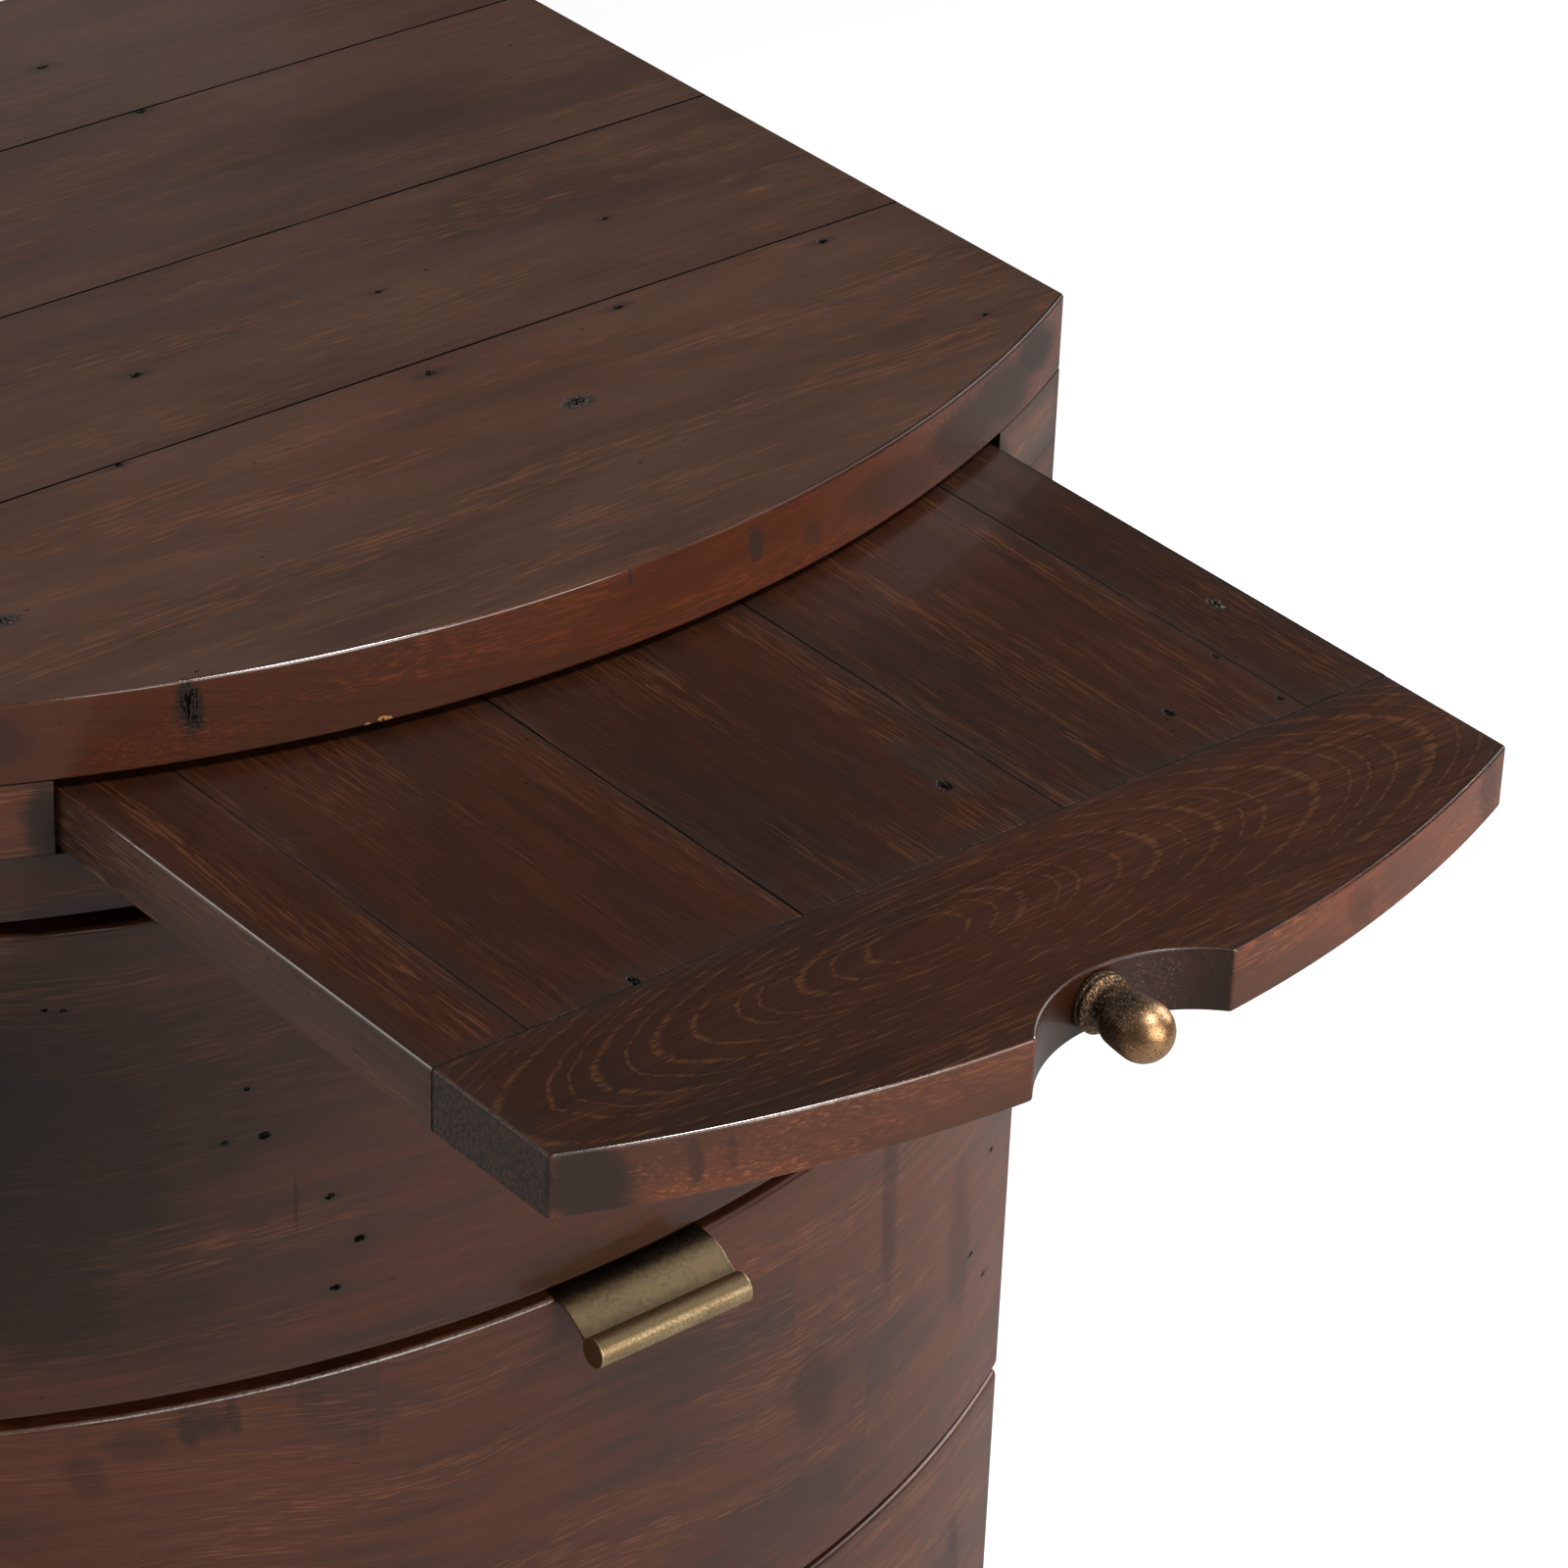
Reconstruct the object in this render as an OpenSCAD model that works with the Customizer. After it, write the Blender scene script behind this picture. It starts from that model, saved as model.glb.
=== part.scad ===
// Bow front nightstand with a pull-out tray and drawers on telescopic slides.
// Sizes are in millimetres. The floor is z = 0, the front faces -Y and x = 0 is the mirror plane.

/* [Case] */
// Width across the case and its top
case_w = 560; // [520:10:640]
// Height of the top above the floor
case_h = 780; // [740:5:840]
// Depth from the front corners to the back
case_d = 481; // [470:1:540]
// How far the bow stands in front of the corners
bow_rise = 74; // [56:1:86]
// Thickness of the top
top_t = 34; // [28:1:40]
// Width of each straight board behind the bowed one
top_board_w = 126; // [110:1:135]
// Thickness of the side panels
side_t = 20; // [18:1:24]
// Thickness of the back panel
back_t = 8; // [6:1:12]
// Width of the rebate that the back panel sits in
back_rebate = 10; // [6:1:14]
// Thickness of the bottom board
bottom_board_t = 18; // [15:1:22]
// Depth of the rails between the drawers
divider_w = 60; // [40:5:90]
// Thickness of the rails between the drawers
divider_t = 18; // [14:1:22]
// Radius on the front edges of the top and the tray
top_ease = 2; // [1:0.5:4]

/* [Plinth] */
// Height of the base frame with its glides
plinth_h = 30; // [24:1:60]
// Thickness of the base frame's boards
plinth_t = 18; // [16:1:24]
// Set-back of the base frame from the sides and back
plinth_inset = 40; // [25:1:60]
// Set-back of the curved base rail from the bow
plinth_front_inset = 45; // [30:1:60]
// Thickness of the floor glides
glide_t = 4; // [3:0.5:8]
// Diameter of the floor glides
glide_d = 16; // [12:1:16]

/* [Tray slot] */
// Width of the apron stile beside the slot
stile_w = 56; // [52:1:62]
// Height of the bowed rail under the slot
slot_rail_h = 26.5; // [22:0.5:32]
// Depth of the flat land behind the corners of the fronts
land_t = 22; // [20:1:28]
// Gap between a closed drawer front and the case
bumper_gap = 1.5; // [1:0.25:3]
// Width of the tray's share of each runner
runner_ledge = 17; // [12:1:24]
// Height of the runner under the tray
runner_h = 25; // [18:1:26]
// Width of the strip that keeps the tray level
kicker_w = 26; // [18:1:34]

/* [Tray] */
// Thickness of the tray
tray_t = 26; // [20:1:30]
// Space above the tray in its slot
tray_head_gap = 4.4; // [3:0.2:6]
// Space beside the tray in the front of its slot
tray_side_gap = 2.6; // [1.5:0.1:4]
// Running clearance under, over and beside the tray
run_gap = 0.3; // [0.25:0.05:0.6]
// How far the tray is pulled out in the rest pose
tray_out = 285; // [240:1:300]
// Depth of the tray behind the front corners when shut
tray_back = 452; // [446:1:460]
// Where the front rail's straight seam lies behind the corners
tray_seam_y = 34.7; // [28:0.1:45]
// Width of the tray's stiles
tray_stile_w = 40; // [32:1:50]
// Depth of the tray's back rail
tray_back_rail_w = 50; // [40:1:70]
// Radius of the finger notch
notch_r = 61; // [55:1:70]
// Distance of the notch's deepest point behind the tip of the bow
notch_depth = 23; // [18:0.5:27]
// Width of the stop under the tray
stop_w = 120; // [80:5:160]
// Height of the stop under the tray
stop_h = 12; // [8:1:16]
// Depth of the stop under the tray
stop_d = 20; // [14:1:30]

/* [Knob] */
// Diameter of the knob's round end
knob_d = 22.8; // [20:0.2:25]
// Diameter of the knob's body next to the neck
knob_root_d = 20.6; // [18:0.2:22]
// Diameter of the knob's collar
knob_collar_d = 23; // [21:0.5:25]
// Thickness of the collar
knob_collar_t = 6.4; // [5:0.2:8]
// Width of the lips on the collar and the body
knob_lip = 1; // [0.6:0.1:1.5]
// Diameter of the neck
knob_neck_d = 13; // [9:0.5:15]
// Where the body starts, out from the notch
knob_body_y = 9.6; // [9:0.2:12]
// Where the round end is centred, out from the notch
knob_ball_y = 25.4; // [22:0.2:28]
// Diameter of the threaded stud
stud_d = 4; // [3:0.5:6]
// Length of the stud inside the knob
stud_in_knob = 9; // [7:0.5:12]
// Length of the stud inside the tray
stud_in_tray = 22; // [15:1:30]

/* [Drawer fronts] */
// Height of the two lower drawer fronts
lower_front_h = 212; // [205:1:230]
// Wall of the bowed fronts
front_t = 24; // [20:1:28]
// Width of the land left flat inside each end of the cove
cove_land = 8; // [4:1:14]
// Radius on the long front edges
front_ease = 3; // [1.5:0.5:5]
// Gap under the apron rail
reveal_apron = 7; // [5:0.5:9]
// Gap between the upper and middle fronts
reveal_upper = 5; // [3:0.5:7]
// Gap between the middle and lower fronts
reveal_lower = 3; // [2:0.5:7]
// Gap under the lower front
reveal_base = 3; // [2:0.5:7]

/* [Drawer boxes] */
// Height of the drawer sides
box_h = 165; // [120:1:170]
// Length of the drawer sides
box_len = 430; // [424:1:436]
// Thickness of the drawer sides and back
box_t = 14; // [12:0.5:15]
// Height of the box above the lower edge of its front
box_lift = 20; // [18:1:26]
// Thickness of the drawer bottom
bottom_t = 6; // [4:0.5:8]
// Height of the bottom's groove above the lower edge of the side
bottom_lift = 10; // [8:1:14]
// Depth of the groove for the bottom
groove_d = 6; // [4:0.5:7]
// Number of pins at each back corner, with the half pins
pin_count = 5; // [3:1:7]
// Width of a pin where it leaves the back
pin_root_w = 12; // [9:0.5:14]
// Width of a pin at its end
pin_tip_w = 7; // [5:0.5:8]
// Length of the tail that slides into the front
tail_len = 10; // [7:0.5:12]
// Width of that tail at its root
tail_root_w = 8; // [6:0.5:9]
// Width of that tail at its end
tail_tip_w = 11.5; // [9.5:0.5:11.5]
// Clearance in glued joints
joint_gap = 0.1; // [0.05:0.05:0.2]
// Clearance round the loose bottom
panel_gap = 0.2; // [0.1:0.05:0.4]
// Gap between the boards of the top and the tray
seam_gap = 0.2; // [0.1:0.05:0.4]

/* [Pulls] */
// Length of the plate and its rod
pull_len = 76; // [60:1:100]
// How far the pulls sit to the right of the middle
pull_shift = 10; // [0:1:20]
// Thickness of the plate
pull_t = 1.5; // [1.2:0.1:2.5]
// Depth of the tongue let into the front
pull_tongue = 15; // [10:1:18]
// Outer radius of the plate's bend
pull_bend_r = 18; // [15:0.5:20]
// Angle of the plate's bend
pull_bend_a = 34; // [30:1:45]
// Distance from the bend to the middle of the rod
pull_leg = 16.3; // [12:0.5:18]
// Diameter of the rod
rod_d = 13; // [10:0.5:16]
// Depth that the rod is brazed into the plate
braze = 0.5; // [0.3:0.1:0.8]

/* [Slides] */
// Length of the slides
slide_len = 400; // [380:5:410]
// Width of a slide between the case and the drawer
slide_w = 12.7; // [12.7:0.1:14]
// Height of the case member
slide_h = 35; // [30:1:45]
// Sheet thickness of the slides
slide_t = 1.2; // [1:0.1:1.4]
// Running clearance between the members
slide_gap = 0.3; // [0.25:0.05:0.4]
// Set-back of the slides from the front of the case
slide_setback = 3; // [2:0.5:8]

/* [Hidden] */
$fn = 96;
cut = 1;
straight_boards = 3;
half_w = case_w / 2;
bow_radius = (half_w * half_w + bow_rise * bow_rise) / (2 * bow_rise);
bow_centre_y = bow_radius - bow_rise;
carcass_y = land_t + bumper_gap;
back_face_y = case_d - back_t;
inner_half = half_w - side_t;

low_front_z = plinth_h + reveal_base;
mid_front_z = low_front_z + lower_front_h + reveal_lower;
up_front_z = mid_front_z + lower_front_h + reveal_upper;
front_z = [up_front_z, mid_front_z, low_front_z];
top_z = case_h - top_t;
slot_z = top_z - tray_head_gap - tray_t - run_gap;
slot_rail_z = slot_z - slot_rail_h;
upper_front_h = slot_rail_z - reveal_apron - up_front_z;
front_h = [upper_front_h, lower_front_h, lower_front_h];
top_seam_y = case_d - straight_boards * top_board_w;

slot_half = half_w - stile_w;
tray_half = slot_half - tray_side_gap;
tray_z = slot_z + run_gap;
tray_mid_z = tray_z + tray_t / 2;
tray_inner_half = tray_half - tray_stile_w;
tray_board_w = 2 * tray_inner_half / 3;
tray_rail_y = tray_back - tray_back_rail_w;
guide_half = tray_half + 2 * run_gap;
runner_inner = tray_half - runner_ledge;
notch_y = notch_depth - bow_rise;
notch_centre_y = notch_y - notch_r;

box_half = inner_half - slide_w;
box_inner = box_half - box_t;
box_back_y = land_t + box_len;
cove_radius = bow_radius - front_t;
cove_half = box_inner - cove_land;

link_w = slide_w - slide_t - 2 * slide_gap;
link_h = slide_h - 2 * slide_t - 2 * slide_gap;
rider_h = link_h - 2 * slide_t - 2 * slide_gap;
slide_y = carcass_y + slide_setback;

knob_tip_y = notch_y - tray_out - knob_ball_y - knob_d / 2;
middle_y = (case_d + knob_tip_y) / 2;

wood = "#4a2a1c";
wood_light = "#6b4028";
box_wood = "#b08a5c";
brass = "#8a6a38";
steel = "#9a9da0";
felt = "#2a2a2a";

// Moves a shape from the case's own zero, the front corner line, to the middle of the part's box.
module placed() {
    translate([0, -middle_y, 0]) children();
}

// Moves a shape drawn as if the tray were shut to where it lies pulled out.
module tray_placed() {
    placed() translate([0, -tray_out, 0]) children();
}

// Box from its two opposite corners.
module block(low, high) {
    translate(low) cube(high - low);
}

// Round slab about the centre of the bow, with eased edges.
module bow_slab(radius, z_low, z_high, ease) {
    height = z_high - z_low;
    translate([0, bow_centre_y, z_low]) rotate_extrude($fn = 360) {
        square([radius - ease, height]);
        translate([0, ease]) square([radius, height - 2 * ease]);
        for (z = [ease, height - ease]) translate([radius - ease, z]) circle(r = ease, $fn = 32);
    }
}

// Plain cylinder about the centre of the bow.
module bow_cylinder(radius, z_low, z_high) {
    translate([0, bow_centre_y, z_low]) cylinder(r = radius, h = z_high - z_low, $fn = 360);
}

// Board with the bow on its front edge, between two x limits and back to y_back.
module bowed_board(x_low, x_high, y_back, z_low, z_high, ease) {
    intersection() {
        bow_slab(bow_radius, z_low, z_high, ease);
        block([x_low, -bow_rise - cut, z_low], [x_high, y_back, z_high]);
    }
}

// The same board with square edges.
module square_bowed_board(x_low, x_high, y_back, z_low, z_high) {
    intersection() {
        bow_cylinder(bow_radius, z_low, z_high);
        block([x_low, -bow_rise - cut, z_low], [x_high, y_back, z_high]);
    }
}

module mirrored_pair() {
    children();
    mirror([1, 0, 0]) children();
}

module top_board_bowed() {
    color(wood) placed()
        bowed_board(-half_w, half_w, top_seam_y - seam_gap / 2, top_z, case_h, top_ease);
}

// Straight board of the top, counted from the front.
module top_board(number) {
    y_low = top_seam_y + (number - 1) * top_board_w + seam_gap / 2;
    y_high = top_seam_y + number * top_board_w - (number < straight_boards ? seam_gap / 2 : 0);
    color(wood) placed() block([-half_w, y_low, top_z], [half_w, y_high, case_h]);
}

module side_panel() {
    difference() {
        block([inner_half, carcass_y, plinth_h], [half_w, case_d, top_z]);
        block([inner_half - cut, back_face_y, plinth_h - cut],
              [inner_half + back_rebate, case_d + cut, top_z + cut]);
    }
}

module side_panel_left() {
    color(wood) placed() mirror([1, 0, 0]) side_panel();
}

module side_panel_right() {
    color(wood) placed() side_panel();
}

module back_panel() {
    reach = inner_half + back_rebate - panel_gap;
    color(wood_light) placed()
        block([-reach, back_face_y, plinth_h], [reach, case_d, top_z]);
}

module bottom_board() {
    color(wood_light) placed()
        block([-inner_half, carcass_y, plinth_h], [inner_half, back_face_y, plinth_h + bottom_board_t]);
}

// Rail across the front of the case, behind the gap under a drawer front.
module divider_rail(gap_middle_z) {
    color(wood_light) placed()
        block([-inner_half, carcass_y, gap_middle_z - divider_t / 2],
              [inner_half, carcass_y + divider_w, gap_middle_z + divider_t / 2]);
}

module divider_rail_upper() {
    divider_rail(up_front_z - reveal_upper / 2);
}

module divider_rail_lower() {
    divider_rail(mid_front_z - reveal_lower / 2);
}

module apron_stile_left() {
    color(wood) placed()
        square_bowed_board(-half_w, -slot_half, carcass_y, slot_z, top_z);
}

module apron_stile_right() {
    color(wood) placed()
        square_bowed_board(slot_half, half_w, carcass_y, slot_z, top_z);
}

module slot_rail() {
    color(wood) placed()
        square_bowed_board(-half_w, half_w, carcass_y, slot_rail_z, slot_z);
}

// Runner that carries one edge of the tray and guides it sideways.
module tray_runner() {
    block([runner_inner, carcass_y, slot_z - runner_h], [inner_half, tray_back, slot_z]);
    block([guide_half, carcass_y, slot_z], [inner_half, tray_back, top_z]);
}

module tray_runner_left() {
    color(wood_light) placed() mirror([1, 0, 0]) tray_runner();
}

module tray_runner_right() {
    color(wood_light) placed() tray_runner();
}

// Strip over one edge of the tray, which stops it tipping when it is out.
module tray_kicker() {
    block([guide_half - kicker_w, carcass_y, tray_z + tray_t + run_gap], [guide_half, tray_back, top_z]);
}

module tray_kicker_left() {
    color(wood_light) placed() mirror([1, 0, 0]) tray_kicker();
}

module tray_kicker_right() {
    color(wood_light) placed() tray_kicker();
}

plinth_half = half_w - plinth_inset;
plinth_rear_y = case_d - plinth_inset;
plinth_outer_r = bow_radius - plinth_front_inset;
plinth_inner_r = plinth_outer_r - plinth_t;

// Curved toe rail, set back from the bow.
module plinth_front() {
    color(wood) placed() intersection() {
        difference() {
            bow_cylinder(plinth_outer_r, glide_t, plinth_h);
            bow_cylinder(plinth_inner_r, glide_t - cut, plinth_h + cut);
        }
        block([-plinth_half, -bow_rise, glide_t], [plinth_half, bow_centre_y / 2, plinth_h]);
    }
}

// Board of the base frame that runs from the curved rail to y_back.
module plinth_runner(x_low, x_high, y_back) {
    intersection() {
        bow_cylinder(plinth_inner_r - seam_gap, glide_t, plinth_h);
        block([x_low, -bow_rise, glide_t], [x_high, y_back, plinth_h]);
    }
}

module plinth_left() {
    color(wood) placed() plinth_runner(-plinth_half, plinth_t - plinth_half, plinth_rear_y);
}

module plinth_right() {
    color(wood) placed() plinth_runner(plinth_half - plinth_t, plinth_half, plinth_rear_y);
}

module plinth_stretcher() {
    color(wood_light) placed()
        plinth_runner(-plinth_t / 2, plinth_t / 2, plinth_rear_y - plinth_t - seam_gap);
}

module plinth_back() {
    reach = plinth_half - plinth_t - seam_gap;
    color(wood) placed()
        block([-reach, plinth_rear_y - plinth_t, glide_t], [reach, plinth_rear_y, plinth_h]);
}

module floor_glide(x, y) {
    translate([x, y, 0]) cylinder(d = glide_d, h = glide_t);
}

module floor_glides() {
    rail_r = (plinth_outer_r + plinth_inner_r) / 2;
    front_x = plinth_half - glide_d;
    front_y = bow_centre_y - sqrt(rail_r * rail_r - front_x * front_x);
    rear_x = plinth_half - plinth_t / 2;
    rear_y = plinth_rear_y - glide_d;
    color(felt) placed() {
        floor_glide(0, bow_centre_y - rail_r);
        mirrored_pair() floor_glide(front_x, front_y);
        mirrored_pair() floor_glide(rear_x, rear_y);
    }
}

// Cylinder cut from the tip of the bow for the fingers, or one smaller by an allowance.
module notch(allowance, z_low, z_high) {
    translate([0, notch_centre_y, z_low]) cylinder(r = notch_r - allowance, h = z_high - z_low);
}

module tray_front_rail() {
    color(wood) tray_placed() difference() {
        bowed_board(-tray_half, tray_half, tray_seam_y, tray_z, tray_z + tray_t, top_ease);
        notch(0, tray_z - cut, tray_z + tray_t + cut);
        stud(joint_gap / 2);
    }
}

// Board of the tray between two x limits, behind the front rail.
module tray_panel(x_low, x_high, y_high) {
    block([x_low, tray_seam_y + seam_gap, tray_z], [x_high, y_high, tray_z + tray_t]);
}

module tray_stile_left() {
    color(wood) tray_placed() tray_panel(-tray_half, -tray_inner_half, tray_back);
}

module tray_stile_right() {
    color(wood) tray_placed() tray_panel(tray_inner_half, tray_half, tray_back);
}

// Inner board of the tray, counted from the left.
module tray_board(number) {
    x_low = (number - 1) * tray_board_w - tray_inner_half + seam_gap / 2;
    color(wood) tray_placed()
        tray_panel(x_low, x_low + tray_board_w - seam_gap, tray_rail_y - seam_gap);
}

module tray_back_rail() {
    reach = tray_inner_half - seam_gap / 2;
    color(wood) tray_placed()
        block([-reach, tray_rail_y, tray_z], [reach, tray_back, tray_z + tray_t]);
}

// Strip that meets the back of the slot rail when the tray is fully out.
module tray_stop() {
    stop_y = carcass_y + tray_out + run_gap;
    color(wood_light) tray_placed()
        block([-stop_w / 2, stop_y, tray_z - stop_h], [stop_w / 2, stop_y + stop_d, tray_z]);
}

// Stud that joins the knob to the tray, with an allowance all round.
module stud(allowance) {
    translate([0, notch_y + stud_in_tray + allowance, tray_mid_z])
        rotate([90, 0, 0])
            cylinder(d = stud_d + 2 * allowance, h = stud_in_tray + stud_in_knob + 2 * allowance, $fn = 32);
}

module knob_stud() {
    color(steel) tray_placed() stud(0);
}

// Half section of the knob: a collar in two steps, a neck, a flaring body and a round end.
module knob_section() {
    polygon([
        [0, 0],
        [knob_collar_d / 2 - knob_lip, 0],
        [knob_collar_d / 2 - knob_lip, knob_collar_t / 3],
        [knob_collar_d / 2, knob_collar_t / 2],
        [knob_collar_d / 2, knob_collar_t - knob_lip],
        [knob_collar_d / 2 - knob_lip, knob_collar_t],
        [knob_neck_d / 2, knob_collar_t + knob_lip / 2],
        [knob_neck_d / 2, knob_body_y - knob_lip / 2],
        [knob_root_d / 2 - knob_lip, knob_body_y],
        [knob_root_d / 2, knob_body_y + knob_lip],
        [knob_d / 2, knob_ball_y],
        [0, knob_ball_y]
    ]);
    intersection() {
        translate([0, knob_ball_y]) circle(d = knob_d);
        square([knob_d, knob_ball_y + knob_d]);
    }
}

// Turned knob, with the back of its collar curved to seat in the notch.
module tray_knob() {
    color(brass) tray_placed() difference() {
        intersection() {
            translate([0, notch_y, tray_mid_z]) rotate([90, 0, 0]) rotate_extrude() knob_section();
            notch(joint_gap, tray_z - cut, tray_z + tray_t + cut);
        }
        stud(joint_gap / 2);
    }
}

// Space that the drawer bottom fills, with an allowance all round.
module bottom_space(index, allowance) {
    z_low = front_z[index] + box_lift + bottom_lift - allowance;
    z_high = front_z[index] + box_lift + bottom_lift + bottom_t + allowance;
    reach = box_inner + groove_d - panel_gap + allowance;
    intersection() {
        bow_cylinder(cove_radius + groove_d - panel_gap + allowance, z_low, z_high);
        block([-reach, -bow_rise, z_low], [reach, box_back_y, z_high]);
    }
}

// Tail that slides into the front, with an allowance on its sides and end.
module front_tail(index, allowance, z_low, z_high) {
    middle_x = box_half - box_t / 2;
    translate([middle_x, land_t, z_low]) linear_extrude(z_high - z_low) polygon([
        [-tail_root_w / 2 - allowance, cut / 2],
        [-tail_root_w / 2 - allowance, 0],
        [-tail_tip_w / 2 - allowance, -tail_len - allowance],
        [tail_tip_w / 2 + allowance, -tail_len - allowance],
        [tail_root_w / 2 + allowance, 0],
        [tail_root_w / 2 + allowance, cut / 2]
    ]);
}

// Pins of the back, seen as wedges that narrow towards the rear, with an allowance.
module back_pins(index, allowance) {
    z_low = front_z[index] + box_lift + bottom_lift + bottom_t + panel_gap;
    z_high = front_z[index] + box_lift + box_h;
    pitch = (z_high - z_low) / (pin_count - 1);
    root = pin_root_w / 2 + allowance;
    tip = pin_tip_w / 2 + allowance;
    intersection() {
        for (pin = [0 : pin_count - 1])
            translate([box_inner, box_back_y, z_low + pin * pitch])
                rotate([90, 0, 90])
                    linear_extrude(box_t + allowance)
                        polygon([[-box_t - allowance, -root], [cut, -tip], [cut, tip], [-box_t - allowance, root]]);
        block([box_inner, box_back_y - box_t - allowance, z_low - allowance],
              [box_half + allowance, box_back_y + allowance, z_high + allowance]);
    }
}

// Bowed front: coved behind, with sockets for the sides, the bottom and the pull.
module drawer_front(index) {
    z_low = front_z[index];
    z_high = z_low + front_h[index];
    color(wood) placed() difference() {
        bowed_board(-half_w, half_w, land_t, z_low, z_high, front_ease);
        intersection() {
            bow_cylinder(cove_radius, z_low - cut, z_high + cut);
            block([-cove_half, -bow_rise, z_low - cut], [cove_half, land_t + cut, z_high + cut]);
        }
        bottom_space(index, panel_gap);
        mirrored_pair() front_tail(index, joint_gap, z_low - cut, z_low + box_lift + box_h + joint_gap);
        block([pull_shift - pull_len / 2 - panel_gap, -bow_rise - cut, z_high - pull_t - joint_gap],
              [pull_shift + pull_len / 2 + panel_gap, pull_tongue + panel_gap - bow_rise, z_high + cut]);
    }
}

// Right side of a drawer box.
module drawer_side(index) {
    z_low = front_z[index] + box_lift;
    difference() {
        union() {
            block([box_inner, land_t, z_low], [box_half, box_back_y, z_low + box_h]);
            front_tail(index, 0, z_low, z_low + box_h);
        }
        bottom_space(index, panel_gap);
        back_pins(index, joint_gap);
    }
}

module drawer_side_left(index) {
    color(box_wood) placed() mirror([1, 0, 0]) drawer_side(index);
}

module drawer_side_right(index) {
    color(box_wood) placed() drawer_side(index);
}

module drawer_back(index) {
    z_low = front_z[index] + box_lift + bottom_lift + bottom_t + panel_gap;
    color(box_wood) placed() {
        block([-box_inner, box_back_y - box_t, z_low], [box_inner, box_back_y, front_z[index] + box_lift + box_h]);
        mirrored_pair() back_pins(index, 0);
    }
}

module drawer_bottom(index) {
    color(box_wood) placed() bottom_space(index, 0);
}

// Plate of a pull: a tongue, a bend and a straight leg down to the rod, along z from zero.
// Here x is the distance behind the front's face and y the height over its top edge.
module pull_plate() {
    centre = [0, -pull_bend_r];
    bend = [cos(90 + pull_bend_a), sin(90 + pull_bend_a)];
    half_bend = [cos(90 + pull_bend_a / 2), sin(90 + pull_bend_a / 2)];
    along = [-cos(pull_bend_a), -sin(pull_bend_a)];
    outer = centre + pull_bend_r * bend;
    inner = centre + (pull_bend_r - pull_t) * bend;
    leg = pull_leg - rod_d / 2 + braze;
    translate([0, -pull_t, 0]) cube([pull_tongue, pull_t, pull_len]);
    linear_extrude(pull_len) intersection() {
        translate(centre) difference() {
            circle(r = pull_bend_r);
            circle(r = pull_bend_r - pull_t);
        }
        polygon([centre, [0, pull_bend_r], centre + 2 * pull_bend_r * half_bend, centre + 2 * pull_bend_r * bend]);
    }
    linear_extrude(pull_len) polygon([outer, inner, inner + leg * along, outer + leg * along]);
    translate(outer + pull_leg * along - pull_t / 2 * bend) cylinder(d = rod_d, h = pull_len);
}

// Bent plate with its rod brazed along the lower edge.
module drawer_pull(index) {
    color(brass) placed()
        translate([pull_shift - pull_len / 2, -bow_rise, front_z[index] + front_h[index]])
            rotate([90, 0, 90]) pull_plate();
}

// Channel along y: open towards +x, with its web on x = 0.
module channel(width, height) {
    difference() {
        translate([0, 0, -height / 2]) cube([width, slide_len, height]);
        translate([slide_t, -cut, slide_t - height / 2])
            cube([width, slide_len + 2 * cut, height - 2 * slide_t]);
    }
}

// Height of a drawer's slides.
function slide_z(index) = front_z[index] + box_lift + box_h / 2;

// Places the channels of one drawer against the inside of both side panels.
module slide_pair(index, inset) {
    mirrored_pair()
        translate([inner_half - inset, slide_y, slide_z(index)])
            mirror([1, 0, 0]) children();
}

// Members screwed to the case, open towards the drawers.
module case_slide_members() {
    color(steel) placed()
        for (index = [0 : 2]) slide_pair(index, 0) channel(slide_w - 2 * slide_t, slide_h);
}

// Middle members, which run out half as far as the drawer.
module slide_links(index) {
    color(steel) placed()
        slide_pair(index, slide_t + slide_gap) channel(link_w - slide_t - slide_gap, link_h);
}

// Members screwed to the drawer sides, open towards the case.
module drawer_slides(index) {
    color(steel) placed()
        slide_pair(index, slide_w) mirror([1, 0, 0]) channel(slide_w - 2 * slide_t - 3 * slide_gap, rider_h);
}

top_board_bowed();  // top_board_1
top_board(1);  // top_board_2
top_board(2);  // top_board_3
top_board(3);  // top_board_4
side_panel_left();
side_panel_right();
back_panel();
bottom_board();
divider_rail_upper();
divider_rail_lower();
apron_stile_left();
apron_stile_right();
slot_rail();
tray_runner_left();
tray_runner_right();
tray_kicker_left();
tray_kicker_right();
plinth_front();
plinth_left();
plinth_right();
plinth_back();
plinth_stretcher();
floor_glides();
case_slide_members();
tray_front_rail();
tray_stile_left();
tray_stile_right();
tray_board(1);  // tray_board_1
tray_board(2);  // tray_board_2
tray_board(3);  // tray_board_3
tray_back_rail();
tray_stop();
tray_knob();
knob_stud();
drawer_front(0);  // drawer_1_front
drawer_side_left(0);  // drawer_1_side_left
drawer_side_right(0);  // drawer_1_side_right
drawer_back(0);  // drawer_1_back
drawer_bottom(0);  // drawer_1_bottom
drawer_pull(0);  // drawer_1_pull
drawer_slides(0);  // drawer_1_slides
slide_links(0);  // drawer_1_links
drawer_front(1);  // drawer_2_front
drawer_side_left(1);  // drawer_2_side_left
drawer_side_right(1);  // drawer_2_side_right
drawer_back(1);  // drawer_2_back
drawer_bottom(1);  // drawer_2_bottom
drawer_pull(1);  // drawer_2_pull
drawer_slides(1);  // drawer_2_slides
slide_links(1);  // drawer_2_links
drawer_front(2);  // drawer_3_front
drawer_side_left(2);  // drawer_3_side_left
drawer_side_right(2);  // drawer_3_side_right
drawer_back(2);  // drawer_3_back
drawer_bottom(2);  // drawer_3_bottom
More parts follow.
